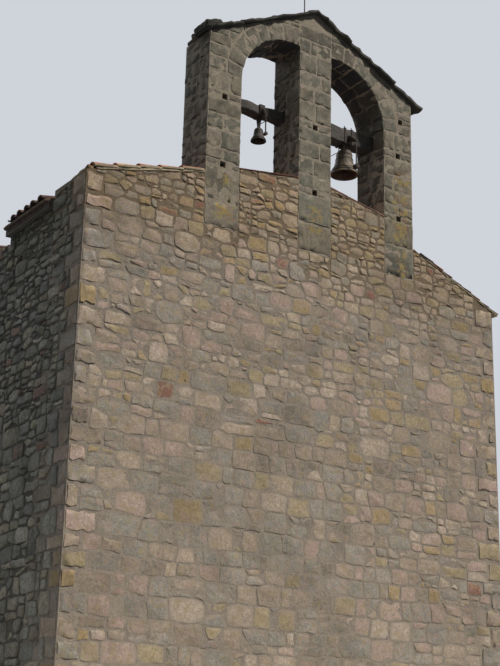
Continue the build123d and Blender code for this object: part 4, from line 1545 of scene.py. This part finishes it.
    def _rear(self) -> None:
        """Rear face: plain rubble up to the roof."""
        mesh = StoneMesh("rear_rubble_stones")
        plane = WallPlane((0.0, WALL_REAR, 0.0), (-1.0, 0.0, 0.0))
        layer = StoneLayer(plane, mesh, self.rng, len(SHADE_RUBBLE.palette),
                           calm_edges=(WALL_LEFT, WALL_RIGHT), rings=COARSE_RINGS)
        cuts = [rake_cut(side, ROOF_DROP + self.rake_joint, -1) for side in Side]
        beds = self.beds + course_marks(PIER_FOOT, self.rear_head, self.course, self.rng)[1:]
        for v0, v1 in pairwise(beds):
            u0 = WALL_LEFT + self._reach((Side.RIGHT, 1), v0, v1, 0)
            layer.course(u0, WALL_RIGHT - self._reach((Side.LEFT, 1), v0, v1, 0), v0, v1, side_bond, cuts)
        layer.lay()
        mesh.build(SHADE_RUBBLE, "rubble_stone")

    def _corner_stones(self) -> None:
        """Squared stones that bond the four corners, and the small coping stone on the front left one."""
        lit, shade = StoneMesh("front_corner_quoins"), StoneMesh("rear_corner_quoins")
        for corner, lengths in self.quoins.items():
            side, end = corner
            for (a, b), (v0, v1) in zip(lengths, pairwise(self._corner_beds(corner))):
                rise = self.quoin_rise + self.rng.uniform(-0.003, 0.004)
                joint = self.rng.uniform(0.005, 0.010)
                size = np.array([a + rise - joint, b + rise - joint, v1 - v0 - 2 * joint])
                stone = rough_block(size, self.rng, (7, 7, 5), 0.034, (0.007, 0.007, 0.016))
                middle = (side.value * (WALL_RIGHT + rise - size[0] / 2),
                          end * (WALL_REAR + rise - size[1] / 2), 0.5 * (v0 + v1))
                pick = self.rng.choice(len(self.quoin_hues), p=self.quoin_hues)
                look = StoneLook((pick + 0.5) / len(self.quoin_hues), self.rng.uniform(0.1, 0.9),
                                 0.2 * self.rng.uniform())
                (lit if end < 0 else shade).add(stone.moved(middle), look)
        stone = rough_block(self.coping, self.rng, (4, 10, 4), 0.02, 0.006)
        half = self.coping[1] / 2
        stone.points[:, 2] -= (stone.points[:, 1] + half) * self.coping_fall
        middle = (WALL_LEFT + 0.066, WALL_FRONT + half, LEFT_RAKE_FOOT + 0.03)
        lit.add(stone.moved(middle), StoneLook(0.55, 0.3, 0.6))
        lit.build(RUBBLE, "rubble_stone")
        shade.build(SHADE_RUBBLE, "rubble_stone")


# Places on the gable's front where lichen grows thick: X and Z from and to, in metres
LICHEN_PATCHES = (
    (-1.77, -1.55, 9.70, 9.95), (-1.80, -1.48, 9.16, 9.45), (-0.01, 0.21, 9.36, 9.83),
    (1.78, 2.10, 10.70, 10.92), (1.79, 2.06, 9.98, 10.55), (1.79, 2.05, 9.62, 9.94), (1.84, 2.00, 9.05, 9.5))

# Stones that lie bare where the cap has lost its slab: X, Y, length, width and height, in metres
BARE_STONES = (
    (-1.90, -2.55, 0.26, 0.20, 0.15), (-1.70, -2.50, 0.20, 0.26, 0.17), (-1.88, -2.37, 0.24, 0.17, 0.10),
    (-1.66, -2.36, 0.18, 0.14, 0.09), (-1.77, -2.45, 0.16, 0.14, 0.19), (-1.52, -2.42, 0.2, 0.28, 0.10))


def lichen_growth(points: np.ndarray, base: float) -> np.ndarray:
    """Growth of lichen at points of the bell gable.

    Args:
        points: Rows of x, y, z.
        base: Growth away from the patches.

    Returns:
        Growth at each point.
    """
    growth = np.full(len(points), base)
    for x0, x1, z0, z1 in LICHEN_PATCHES:
        away = np.maximum(np.abs(points[:, 0] - (x0 + x1) / 2) - (x1 - x0) / 2,
                          np.abs(points[:, 2] - (z0 + z1) / 2) - (z1 - z0) / 2)
        near = np.clip(1.0 - away / 0.09, 0.0, 1.0) * (points[:, 1] < -2.8)
        growth = np.maximum(growth, near)
    return growth


@dataclass(frozen=True)
class Course:
    """One course of dressed blocks: its mesh, its ends along X, its beds and the lichen's growth."""
    mesh: StoneMesh
    x0: float
    x1: float
    z0: float
    z1: float
    growth: float


@dataclass
class BellGable:
    """Dressed blocks of the piers, the two arches, the spandrels and the cap."""
    rng: np.random.Generator = field(default_factory=lambda: np.random.default_rng(733))
    low_course: float = 0.46
    high_course: float = 0.28
    spandrel_course: float = 0.23
    middle_head: float = 13.02
    least_block: float = 0.055
    joint: float = 0.006
    proud: float = 0.003
    skin: tuple[float, float, float] = (0.010, 0.004, 0.010)
    beam_clearance: float = 0.035
    bearing: float = 0.22
    voussoirs: int = 7
    slab_length: float = 0.52
    slab_lap: float = 0.07

    def __post_init__(self) -> None:
        """Reads the gable's faces from the piers."""
        (self.left, self.front, _), (left_jamb, self.rear, _) = span("left_pier")
        (middle_left, _, _), (middle_right, _, _) = span("middle_pier")
        (right_jamb, _, _), (self.right, _, _) = span("right_pier")
        self.middle = (self.front + self.rear) / 2
        self.jambs = {Side.LEFT: left_jamb, Side.RIGHT: right_jamb}
        self.inner = {Side.LEFT: middle_left, Side.RIGHT: middle_right}
        self.beams = {Side.LEFT: span("small_bell_beam"), Side.RIGHT: span("large_bell_beam")}
        self.beam_bed = (min(low[2] for low, _ in self.beams.values()) - self.beam_clearance,
                         max(high[2] for _, high in self.beams.values()) + self.beam_clearance)

    def build(self) -> None:
        """Builds every part of the gable."""
        heads = (SPRINGING, self.middle_head, SPRINGING)
        for name, top in zip(PIERS, heads):
            mesh = StoneMesh(name + "_blocks")
            low, high = span(name)
            self._pier(mesh, low[0], high[0], top)
            mesh.build(ASHLAR, "ashlar_stone")
        for side in Side:
            for word, fill in (("arch_voussoirs", self._voussoirs), ("spandrel_blocks", self._spandrel)):
                mesh = StoneMesh(f"{side.word}_{word}")
                fill(mesh, side)
                mesh.build(ASHLAR, "ashlar_stone")
        self._cap()

    def _at_jamb(self, x: float) -> bool:
        """Tells whether x is a face of a pier inside the gable."""
        return any(abs(x - face) < 1e-4 for face in (*self.jambs.values(), *self.inner.values()))

    def _look(self, points: np.ndarray, growth: float) -> StoneLook:
        """Draws a block's colours, darker on the outer piers, with lichen where the gable has it."""
        inside = self.inner[Side.LEFT] - 0.3 < points[:, 0].mean() < self.inner[Side.RIGHT] + 0.3
        tone = self.rng.uniform(0.25, 1.0) if inside else self.rng.uniform(0.0, 0.45)
        return StoneLook(self.rng.uniform(0, 1), tone, lichen_growth(points, growth))

    def _block(self, course: Course, x0: float, x1: float, y0: float, y1: float) -> None:
        """Adds a dressed block to a course, less its joints.

        Args:
            course: The course.
            x0: Left end.
            x1: Right end.
            y0: Front end.
            y1: Rear end.
        """
        low, high = np.array([x0, y0, course.z0]), np.array([x1, y1, course.z1])
        if np.any(high - low < self.least_block):
            return
        joint = self.joint * self.rng.uniform(0.7, 1.8)
        shell = self.proud + self.rng.uniform(-0.003, 0.004)
        low[0] += -shell if low[0] <= self.left + 1e-4 or self._at_jamb(low[0]) else joint
        high[0] += shell if high[0] >= self.right - 1e-4 or self._at_jamb(high[0]) else -joint
        low[1] += -shell if low[1] <= self.front + 1e-4 else joint
        high[1] += shell if high[1] >= self.rear - 1e-4 else -joint
        low[2] += joint
        high[2] -= joint
        block = rough_block(high - low, self.rng, (9, 7, 7), 0.015, self.skin, 0.17).moved((low + high) / 2)
        course.mesh.add(block, self._look(block.points, course.growth))

    def _pier(self, mesh: StoneMesh, x0: float, x1: float, top: float) -> None:
        """Courses of one pier, with its putlog holes and beam pockets left free.

        Args:
            mesh: The mesh that gets them.
            x0: Left face.
            x1: Right face.
            top: Top of the last course.
        """
        low_hole, high_hole = (height - PUTLOG / 2 for height in PUTLOG_HEIGHTS)
        marks = course_marks(PIER_FOOT, low_hole, self.low_course, self.rng)[:-1]
        marks += course_marks(low_hole, top, self.high_course, self.rng, [high_hole, *self.beam_bed])
        for z0, z1 in pairwise(marks):
            course = Course(mesh, x0, x1, z0, z1, 0.10 + 0.25 * max(0.0, 1.0 - abs(z0 - 9.4) / 0.8))
            if min(abs(z0 - low_hole), abs(z0 - high_hole)) < 1e-6:
                self._course_with_hole(course, (x0 + x1) / 2)
            elif abs(z0 - self.beam_bed[0]) < 1e-6:
                self._course_with_pockets(course)
            else:
                self._course(course, 0.25 if z0 < low_hole else 0.75)

    def _course(self, course: Course, split_chance: float) -> None:
        """One plain course: a front row and a rear row of one or two blocks each.

        Args:
            course: The course.
            split_chance: Chance of two blocks in a row.
        """
        depth = self.front + self.rng.uniform(0.27, 0.44)
        for y0, y1 in pairwise((self.front, depth, self.rear)):
            cuts = [course.x0, course.x1]
            if self.rng.uniform() < split_chance:
                cuts.insert(1, course.x0 + (course.x1 - course.x0) * self.rng.uniform(0.3, 0.7))
            for x0, x1 in pairwise(cuts):
                self._block(course, x0, x1, y0, y1)

    def _course_with_hole(self, course: Course, centre: float) -> None:
        """A low course with a hole through it, and the blocks that span the hole where there is room."""
        half, top = PUTLOG / 2, course.z0 + PUTLOG
        if course.z1 - top < 0.08:
            top = course.z1
        beside = replace(course, z1=top)
        for y0, y1 in pairwise((self.front, self.middle, self.rear)):
            self._block(beside, course.x0, centre - half, y0, y1)
            self._block(beside, centre + half, course.x1, y0, y1)
        if top < course.z1:
            self._course(replace(course, z0=top), 0.4)

    def _course_with_pockets(self, course: Course) -> None:
        """The course that takes the beams: blocks stop short of each beam and leave a dark socket."""
        x0, x1 = course.x0, course.x1
        if x0 < 0 < x1:
            centre = (x0 + x1) / 2
            bearings = [(x0, centre, Side.LEFT), (centre, x1, Side.RIGHT)]
        else:
            side = Side.LEFT if x1 < 0 else Side.RIGHT
            cut = self.jambs[side] + side.value * self.bearing
            outer, inner = ((cut, x1), (x0, cut))[::side.value]
            bearings = [(*inner, side)]
            for y0, y1 in pairwise((self.front, self.middle, self.rear)):
                self._block(course, *outer, y0, y1)
        for a, b, side in bearings:
            low, high = self.beams[side]
            self._block(course, a, b, self.front, low[1] - self.beam_clearance)
            self._block(course, a, b, high[1] + self.beam_clearance, self.rear)

    def _arch_centre(self, side: Side) -> float:
        """Centre of an arch along X."""
        return self.jambs[side] - side.value * ARCH_RADIUS

    def _voussoirs(self, mesh: StoneMesh, side: Side) -> None:
        """Wedge stones from the outer pier to the middle pier.

        Args:
            mesh: The mesh that gets them.
            side: Which arch.
        """
        centre = self._arch_centre(side)
        start = math.pi if side is Side.LEFT else 0.0
        middle_radius = ARCH_RADIUS + RING_DEPTH / 2
        end = math.acos((self.inner[side] - centre) / middle_radius)
        steps = self.rng.uniform(0.75, 1.25, self.voussoirs)
        marks = start + (end - start) * np.concatenate([[0], np.cumsum(steps) / steps.sum()])
        for a, b in pairwise(marks):
            depth = self.front + self.rng.uniform(0.28, 0.43)
            for y0, y1 in ((self.front - self.proud, depth - 0.005), (depth + 0.005, self.rear + self.proud)):
                length = abs(b - a) * middle_radius - self.rng.uniform(0.012, 0.022)
                size = (length, y1 - y0, RING_DEPTH + 0.018 + self.rng.uniform(-0.035, 0.012))
                stone = rough_block(size, self.rng, (7, 5, 6), 0.015, self.skin, 0.2)
                along, across, out = stone.points.T
                theta, radius = (a + b) / 2 - along / middle_radius, middle_radius - 0.009 + out
                bent = np.stack([centre + radius * np.cos(theta), across + (y0 + y1) / 2,
                                 SPRINGING + radius * np.sin(theta)], 1)
                mesh.add(replace(stone, points=bent), self._look(bent, 0.12))

    def _spandrel(self, mesh: StoneMesh, side: Side) -> None:
        """Blocks beside the ring, and small stones between the ring and the cap.

        Args:
            mesh: The mesh that gets them.
            side: Which arch.
        """
        centre, ring = self._arch_centre(side), ARCH_RADIUS + RING_DEPTH
        left = side is Side.LEFT
        fixed = [] if left else [HIGH_PUTLOG[1] - PUTLOG / 2]
        marks = course_marks(SPRINGING, gable_top(self.left), self.spandrel_course, self.rng, fixed)
        for z0, z1 in pairwise(marks):
            edge = centre + side.value * math.sqrt(ring ** 2 - (z0 - SPRINGING) ** 2)
            x0, x1 = (self.left, edge) if left else (edge, self.right)
            course = Course(mesh, x0, x1, z0, z1, 0.2)
            if fixed and abs(z0 - fixed[0]) < 1e-6:
                self._course_with_hole(course, HIGH_PUTLOG[0])
                continue
            depth = self.front + self.rng.uniform(0.28, 0.42)
            for y0, y1 in pairwise((self.front, depth, self.rear)):
                self._block(course, x0, x1, y0, y1)
        ends = (self.left, self.inner[side]) if left else (self.inner[side], self.right)
        for sense, y in ((1.0, self.front), (-1.0, self.rear)):
            plane = WallPlane((0.0, y, 0.0), (sense, 0.0, 0.0))
            layer = StoneLayer(plane, mesh, self.rng, len(ASHLAR.palette), sway=0.0)
            self._fill_head(layer, sense, np.array([centre, SPRINGING]), ring, ends)

    def _fill_head(self, layer: StoneLayer, sense: float, centre: np.ndarray, ring: float,
                   ends: tuple[float, float]) -> None:
        """Lays stones in the strip between a ring and the cap.

        Args:
            layer: The layer.
            sense: 1 where u runs along +X, else -1.
            centre: The arch's centre, as x and z.
            ring: Outer radius of the ring.
            ends: Lowest and highest X of the strip.
        """
        marks = course_marks(gable_top(self.left) - 0.02, 13.3, HEAD_FILL.height, self.rng)
        slopes = [((slope, 1.0), gable_top(GABLE_AXIS) + slope * GABLE_AXIS * sense - 0.004)
                  for slope in (-GABLE_SLOPE, GABLE_SLOPE)]
        for z0, z1 in pairwise(marks):
            x = ends[0]
            while x < ends[1] - 0.02:
                end = min(x + self.rng.uniform(0.7, 1.4) * HEAD_FILL.length, ends[1])
                cell = np.array([[x, z0], [end, z0], [end, z1], [x, z1]])
                outward = cell.mean(0) - centre
                outward /= np.hypot(*outward)
                cell = clip(cell, -outward, -(float(outward @ centre) + ring + self.joint))
                flat = (cell * (sense, 1.0))[::int(sense)] if len(cell) else cell
                for normal, limit in slopes:
                    flat = clip(flat, normal, limit)
                layer.stone(flat, HEAD_FILL)
                x = end

    def _cap(self) -> None:
        """Rough slabs, lapped from the eave up, that replace the plain cap."""
        for node, side in (("left_cap_front_row", Side.LEFT), ("left_cap_rear_row", Side.LEFT),
                           ("right_cap_slabs", Side.RIGHT)):
            mesh = StoneMesh(node + "_slabs")
            (x0, y0, _), (x1, y1, _) = span(node)
            start, end = (x0, x1) if side is Side.LEFT else (x1, x0)
            if node == "left_cap_front_row":
                start = self._end_slab(start, y0, y1)
            edges = (y0, y1) if side is Side.LEFT else (y0, (y0 + y1) / 2 + 0.03, y1)
            for strip in pairwise(edges):
                self._slab_row(mesh, start, end, *strip, side)
            mesh.build(SLATE, "slate_slab", node)
        self._bare_bed()
        self._apex()

    def _end_slab(self, start: float, y0: float, y1: float) -> float:
        """The thick, overgrown slab at the cap's left end, drawn back to where it ends in the photograph; its
        near-black colour is partly painted shade.

        Args:
            start: X of the cap's low end.
            y0: Front edge.
            y1: Rear edge.

        Returns:
            X where the next slab starts.
        """
        length, thickness, start = 0.34, 0.135, start + 0.19
        mesh = StoneMesh("left_cap_end_slab")
        slab = rough_block((length, y1 - y0 - 0.02, thickness), self.rng, (12, 12, 8), 0.035,
                           (0.008, 0.010, 0.007), 0.22)
        x = start + length * 0.5 * math.cos(GABLE_ANGLE) - 0.01
        centre = (x, (y0 + y1) / 2, gable_top(x) + thickness / 2 + 0.020)
        mesh.add(slab.moved(centre, leaning(Side.LEFT, GABLE_SLOPE * 0.8)), StoneLook(0.4, 0.4, 0.2))
        # Painted shade: the slab's near-black finish stands partly for shade
        mesh.build(MOSS_AND_SHADE, "slate_slab")
        return start + 0.24

    def _bare_bed(self) -> None:
        """Rubble and old mortar that lie bare where the cap has lost its slab."""
        mesh = StoneMesh("left_cap_bare_bed_stones")
        for x, y, *size in BARE_STONES:
            stone = rough_block(size, self.rng, (6, 5, 4), 0.03, 0.012, 0.12)
            turn = leaning(Side.LEFT, math.tan(GABLE_ANGLE + self.rng.uniform(-0.12, 0.05)))
            mesh.add(stone.moved((x, y, gable_top(x) + size[2] / 2 - 0.02), turn),
                     StoneLook(self.rng.uniform(), self.rng.uniform(0.2, 0.8), 0.2))
        mesh.build(ASHLAR, "ashlar_stone")

    def _slab_row(self, mesh: StoneMesh, start: float, end: float, y0: float, y1: float, side: Side) -> None:
        """One row of lapped slabs on a slope.

        Args:
            mesh: The mesh that gets them.
            start: X of the low end.
            end: X of the high end.
            y0: Front edge.
            y1: Rear edge.
            side: Side of the slope.
        """
        rng, lap = self.rng, self.slab_lap
        thicknesses = (0.040, 0.055) if side is Side.LEFT else (0.058, 0.078)
        count = max(3, int(round(abs(end - start) / self.slab_length)))
        widths = rng.uniform(0.75, 1.25, count)
        marks = start + (end - start) * np.concatenate([[0], np.cumsum(widths) / widths.sum()])
        for a, b in pairwise(marks):
            thickness = rng.uniform(*thicknesses)
            size = np.array([abs(b - a) / math.cos(GABLE_ANGLE) + lap,
                             y1 - y0 - 0.012 + rng.uniform(-0.03, 0.01), thickness])
            slab = rough_block(size, rng, (10, 9, 4), 0.014, (0.008, 0.008, 0.005), 0.2)
            ragged = SmoothNoise(int(rng.integers(1 << 30)), 0.22)(slab.points * (1, 1, 0)) * 0.016
            near_edge = np.clip((np.abs(slab.points[:, :2]) / size[:2] - 0.3) / 0.2, 0, 1)
            slab.points[:, :2] += ragged[:, :2] * near_edge
            x = (a + b) / 2 + side.value * lap / 2 * math.cos(GABLE_ANGLE)
            centre = (x, (y0 + y1) / 2 + rng.uniform(-0.01, 0.01), gable_top(x) + thickness / 2 + 0.014)
            mesh.add(slab.moved(centre, leaning(side, math.tan(GABLE_ANGLE - 0.03))),
                     StoneLook(rng.uniform(), rng.uniform(0.1, 0.9), 0.3))

    def _apex(self) -> None:
        """The slab that straddles the apex, bent over it."""
        low, high = span("apex_cap_slab")
        mesh = StoneMesh("apex_cap_rough_slab")
        size = (high[0] - low[0] + 0.02, high[1] - low[1], 0.06)
        slab = rough_block(size, self.rng, (8, 7, 4), 0.018, 0.008, 0.25)
        slab.points[:, 2] += high[2] - 0.034 - np.abs(slab.points[:, 0]) * GABLE_SLOPE * 0.8
        middle = ((low[0] + high[0]) / 2, (low[1] + high[1]) / 2, 0.0)
        mesh.add(slab.moved(middle), StoneLook(0.4, 0.5, 0.3))
        mesh.build(SLATE, "slate_slab", "apex_cap_slab")


@dataclass
class TiledRoof:
    """Barrel tiles of the two slopes, ridge, verges, eave courses and sills."""
    arrays: UnitArray
    pitch: float = 0.235
    exposure: float = 0.34
    tile_length: float = 0.42
    tile_width: float = 0.175
    tile_taper: float = 0.82
    tile_rise: float = 0.062
    tile_wall: float = 0.013
    bed: float = 0.035
    ridge_exposure: float = 0.385
    left_verge_rows: int = 5
    right_verge_exposure: float = 0.235
    eave_rows: int = 3
    eave_tile: float = 0.2
    sill_rows: int = 6

    def build(self) -> None:
        """Builds every tiled part."""
        self._slope(Side.LEFT, 41)
        self._slope(Side.RIGHT, 43)
        self._ridge()
        self._left_verge()
        self._right_verge()
        self._eave(Side.LEFT, 47)
        self._eave(Side.RIGHT, 53)
        self._sill(Side.LEFT, 59)
        self._sill(Side.RIGHT, 61)

    def _tiles(self, name: str, unit: Shape, rows: Rows, finish: Finish, frame_of: Matrix,
               *replaced: str) -> None:
        """Lays units in rows as one piece of the roof.

        Args:
            name: The piece's name.
            unit: The unit.
            rows: How they lie.
            finish: Their finish.
            frame_of: Matrix that puts the local frame in its place.
            *replaced: CAD nodes that they replace.
        """
        place(self.arrays.lay(name, unit, rows, finish, frame_of), "clay_tile", *replaced)

    def _unit(self) -> Shape:
        """A cover tile and the channel tile beside it, which is turned over."""
        narrow = self.tile_width * self.tile_taper
        cover = barrel_tile(self.tile_length, self.tile_width, narrow, self.tile_rise, self.tile_wall, 0.016)
        channel = barrel_tile(self.tile_length, narrow, self.tile_width, self.tile_rise * 0.8, self.tile_wall,
                              -0.014).stretched((1.0, -1.0, -1.0))
        return joined(cover.moved((0, 0, 0.012)), channel.moved((0.0, self.pitch / 2, self.tile_rise * 0.72)))

    def _slope(self, side: Side, seed: int) -> None:
        """The tile fields of a slope and their mortar beds; the left slope has a gap in them at its eave.

        Args:
            side: Side of the roof.
            seed: Seed of the arrays.
        """
        node, left = f"{side.word}_roof_slope", side is Side.LEFT
        (x0, front, _), (x1, rear, _) = span(node)
        eave_x = x0 if left else x1
        start_z = side.foot - ROOF_DROP - side.slope * (abs(eave_x) - WALL_RIGHT)
        run = abs(RIDGE_X - eave_x) / math.cos(math.atan(side.slope))
        rows, columns = int((run - 0.1) / self.exposure) + 1, int((rear - front) / self.pitch)
        margin = (rear - front - (columns - 1) * self.pitch) / 2 - self.pitch * 0.12
        first = front + margin if left else rear - margin
        frame_of = slope_frame((eave_x, first, start_z), side, side.slope)
        fields, beds = [("tiles", 0, rows, 0, columns)], [("bed", 0.0, run, front, rear)]
        if left:
            before = int((LEFT_EAVE_GAP[0] - 0.2 - first) / self.pitch) + 1
            after = int((LEFT_EAVE_GAP[1] + 0.1 - first) / self.pitch) + 1
            fields = [("tiles", 2, rows, 0, columns), ("front_eave_tiles", 0, 2, 0, before),
                      ("rear_eave_tiles", 0, 2, after, columns)]
            beds = [("bed", 0.62, run, front, rear), ("front_eave_bed", 0.0, 0.64, front, LEFT_EAVE_GAP[0]),
                    ("rear_eave_bed", 0.0, 0.64, LEFT_EAVE_GAP[1], rear)]
        for name, row, row_end, column, column_end in fields:
            matrix = frame_of @ Matrix.Translation((row * self.exposure, column * self.pitch, self.bed))
            lie = Rows((row_end - row, column_end - column), (self.exposure, self.pitch), seed + row + column,
                       0.016, (0.010, 0.006, 0.002))
            # The eave tiles take the finish that is painted dark as shade
            finish = EAVE_TILE_SHADED if "eave" in name else TERRACOTTA
            self._tiles(f"{node}_{name}", self._unit(), lie, finish, matrix,
                        *([node] if name == "tiles" else []))
        for name, start, end, y0, y1 in beds:
            size = (end - start - 0.02, y1 - y0 - 0.02, self.bed)
            block = rough_block(size, 3, (14, 18, 3), 0.006, 0.004, 0.4)
            matrix = slope_frame((eave_x, (y0 + y1) / 2, start_z), side, side.slope)
            local = block.moved(((start + end) / 2, 0.0, self.bed / 2 + 0.002))
            placed = local.moved(matrix.translation, matrix)
            place(mesh_object(f"{node}_{name}", placed, material_of(MORTAR)), "clay_tile")

    def _ridge(self) -> None:
        """Half-round ridge tiles, lapped from front to rear."""
        low, high = span("ridge_course")
        width = high[0] - low[0]
        tile = barrel_tile(0.44, width, width * 0.92, 0.125, 0.018, 0.012, 10)
        count = int(round((high[1] - low[1] - 0.03) / self.ridge_exposure))
        matrix = Matrix.Rotation(math.radians(90), 4, "Z")
        matrix.translation = Vector(((low[0] + high[0]) / 2, low[1] + 0.01, high[2] - 0.137))
        rows = Rows((count, 1), (self.ridge_exposure, 0.0), 67, 0.012, (0.004, 0.006, 0.003))
        self._tiles("ridge_course_tiles", tile, rows, TERRACOTTA, matrix, "ridge_course")

    def _left_verge(self) -> None:
        """Barrel and flat tiles laid up the front wall's left rake, over pale mortar."""
        low, high = span("left_verge_course")
        start, base, count = low[0], front_rake(low[0]), self.left_verge_rows
        exposure = ((high[0] - low[0]) / math.cos(math.atan(LEFT_SLOPE)) - 0.02) / count
        matrix = slope_frame((start, WALL_FRONT + 0.085, base + 0.026), Side.LEFT, LEFT_SLOPE)
        self._tiles("left_verge_tiles", barrel_tile(0.40, 0.20, 0.17, 0.066, 0.022, 0.034),
                    Rows((count, 1), (exposure, 0.2), 71, 0.025, (0.008, 0.008, 0.003)), VERGE_TILE, matrix,
                    "left_verge_course")
        flat = rough_block((exposure + 0.04, 0.19, 0.020), 15, (6, 4, 3), 0.004, 0.003)
        flat = flat.moved((exposure / 2, 0.2, 0.012), Matrix.Rotation(0.04, 3, "Y"))
        self._tiles("left_verge_flat_tiles", flat,
                    Rows((count, 4), (exposure, 0.2), 77, 0.012, (0.006, 0.004, 0.002)), TERRACOTTA, matrix)
        self._verge_bed(Side.LEFT, 0.036)
        strip = rough_block((exposure + 0.01, 0.07, 0.034), 13, (8, 3, 3), 0.006, 0.004)
        strip = strip.moved((exposure / 2, 0.0, 0.032), Matrix.Rotation(0.07, 3, "Y"))
        self._tiles("left_verge_edge_mortar", strip,
                    Rows((count, 1), (exposure, 0.0), 75, 0.01, (0.006, 0.002, 0.002)), PALE_MORTAR,
                    slope_frame((start, WALL_FRONT + 0.012, base + 0.016), Side.LEFT, LEFT_SLOPE))

    def _right_verge(self) -> None:
        """Thin lapped tiles on the right rake, out over the eave."""
        low, high = span("right_verge_course")
        exposure = self.right_verge_exposure
        count = int(((high[0] - low[0]) / math.cos(math.atan(RIGHT_SLOPE)) - 0.28) / exposure) + 1
        unit = rough_block((0.31, 0.2, 0.020), 7, (5, 4, 3), 0.005, 0.004)
        unit = unit.moved((0.155, 0, 0.026), Matrix.Rotation(0.05, 3, "Y"))
        first = (high[0], WALL_FRONT + 0.915, front_rake(high[0]) + 0.006)
        self._tiles("right_verge_tiles", unit,
                    Rows((count, 5), (exposure, 0.207), 73, 0.03, (0.012, 0.008, 0.003)), THIN_TILE,
                    slope_frame(first, Side.RIGHT, RIGHT_SLOPE), "right_verge_course")
        self._verge_bed(Side.RIGHT, 0.022)

    def _verge_bed(self, side: Side, thickness: float) -> None:
        """Pale mortar under the tiles of a rake, a little proud of the wall's front.

        Args:
            side: Side of the roof.
            thickness: Its thickness.
        """
        low, high = span(f"{side.word}_verge_course")
        run, x = (high[0] - low[0]) / math.cos(math.atan(side.slope)), (low[0] + high[0]) / 2
        block = rough_block((run - 0.03, 1.0, thickness), 5, (24, 8, 3), 0.010, (0.004, 0.007, 0.006))
        matrix = slope_frame((x, WALL_FRONT + 0.488, front_rake(x) + thickness / 2 - 0.006), side, side.slope)
        placed = block.moved(matrix.translation, matrix)
        place(mesh_object(f"{side.word}_verge_bed", placed, material_of(PALE_MORTAR)), "clay_tile")

    def _eave(self, side: Side, seed: int) -> None:
        """Thin courses of flat tiles that step out under the eave, over a mortar core.

        Args:
            side: Side of the roof.
            seed: Seed of the arrays.
        """
        _, bottom, top = eave_levels(side)
        step = (top - bottom) / self.eave_rows
        for word, y0, y1 in eave_stretches(side):
            count = max(1, int(round((y1 - y0) / self.eave_tile)))
            pitch = (y1 - y0) / count
            brick = rough_block((0.30, pitch - 0.008, step - 0.010), 9, (5, 4, 3), 0.006, 0.003)
            for k in range(self.eave_rows):
                out = 0.06 + 0.07 * k / (self.eave_rows - 1)
                first = (side.value * WALL_RIGHT + side.value * (out - 0.15), y0 + pitch / 2,
                         bottom + (k + 0.5) * step)
                rows = Rows((1, count), (0.0, pitch), seed + k, 0.015, (0.008, 0.003, 0.002))
                self._tiles(f"{side.word}_eave_course{word}_row_{k + 1}", brick, rows, BRICK,
                            Matrix.Translation(first))

    def _sill(self, side: Side, seed: int) -> None:
        """Thin tiles on the wall under an opening, which slope down towards the outer pier.

        Args:
            side: Which opening.
            seed: Seed of the array.
        """
        node, left = f"{side.word}_opening_sill", side is Side.LEFT
        low, high = span(node)
        run, rise = high[0] - low[0], high[2] - low[2] - SILL_THICKNESS
        step = math.hypot(run, rise) / self.sill_rows
        unit = rough_block((0.2, 0.235, 0.026), 11, (4, 4, 3), 0.004, 0.002)
        unit = unit.stretched((step / 0.2 * 0.97, 1, 1)).moved((step / 2, 0, 0))
        first = (low[0] if left else high[0], WALL_FRONT + 0.11 if left else high[1] - 0.115, low[2] + 0.016)
        self._tiles(node + "_tiles", unit,
                    Rows((self.sill_rows, 3), (step, 0.242), seed, 0.015, (0.003, 0.004, 0.001)), TERRACOTTA,
                    slope_frame(first, side, rise / run), node)


@dataclass
class BellFrame:
    """Beams, iron work and bells."""
    rng: np.random.Generator = field(default_factory=lambda: np.random.default_rng(271))
    iron_words: tuple[str, ...] = ("clapper", "hammer", "strap", "hanger", "crown_bar", "tie", "rod")

    def build(self) -> None:
        """Builds the beams and dresses the iron and bronze nodes."""
        self._beam("small_bell_beam", 0.008)
        self._beam("large_bell_beam", 0.007)
        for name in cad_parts:
            if any(word in name for word in self.iron_words):
                dress(IRON, name)
        dress(BRONZE, "large_bell")
        dress(DARK_BRONZE, "small_bell")

    def _beam(self, node: str, wear: float) -> None:
        """A worn beam in place of a plain one.

        Args:
            node: The CAD node.
            wear: Depth of the wear.
        """
        low, high = span(node)
        beam = rough_block(high - low - 0.004, self.rng, (30, 7, 7), 0.014, wear, 0.45)
        hollow = SmoothNoise(17, 0.5)(beam.points)[:, 2] * 0.012
        beam.points[:, 2] -= np.maximum(hollow, 0) * (beam.points[:, 2] > 0)
        obj = mesh_object(node + "_weathered", beam.moved((low + high) / 2), material_of(OAK))
        place(obj, "weathered_oak", node)


def dress(finish: Finish, *nodes: str) -> None:
    """Gives CAD nodes one material.

    Args:
        finish: The material's finish.
        *nodes: Names of the nodes.
    """
    material = material_of(finish)
    for obj in (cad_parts[name] for name in nodes):
        if not obj.material_slots:
            obj.data.materials.append(material)
        for slot in obj.material_slots:
            slot.material = material


def dress_cores() -> None:
    """Gives the masonry nodes under the stones their mortar; the sides and the rear get mortar painted dark
    as shade.
    """
    dress(MORTAR, "front_gable_wall")
    dress(GABLE_MORTAR, *PIERS, "left_arch_ring", "right_arch_ring", "left_spandrel", "right_spandrel")
    dress(SHADE_MORTAR, "left_side_wall", "right_side_wall", "rear_party_wall", "left_eave_course",
          "right_eave_course")


def main() -> None:
    """Builds the studio and then the tower's sub-assemblies in order."""
    logging.basicConfig(level=logging.INFO, format="%(name)s: %(message)s")
    bpy.context.scene.view_settings.view_transform = "Standard"
    Studio().build()
    dress_cores()
    BlockWalls().build()
    BellGable().build()
    TiledRoof(UnitArray()).build()
    BellFrame().build()


if __name__ == "__main__":
    main()
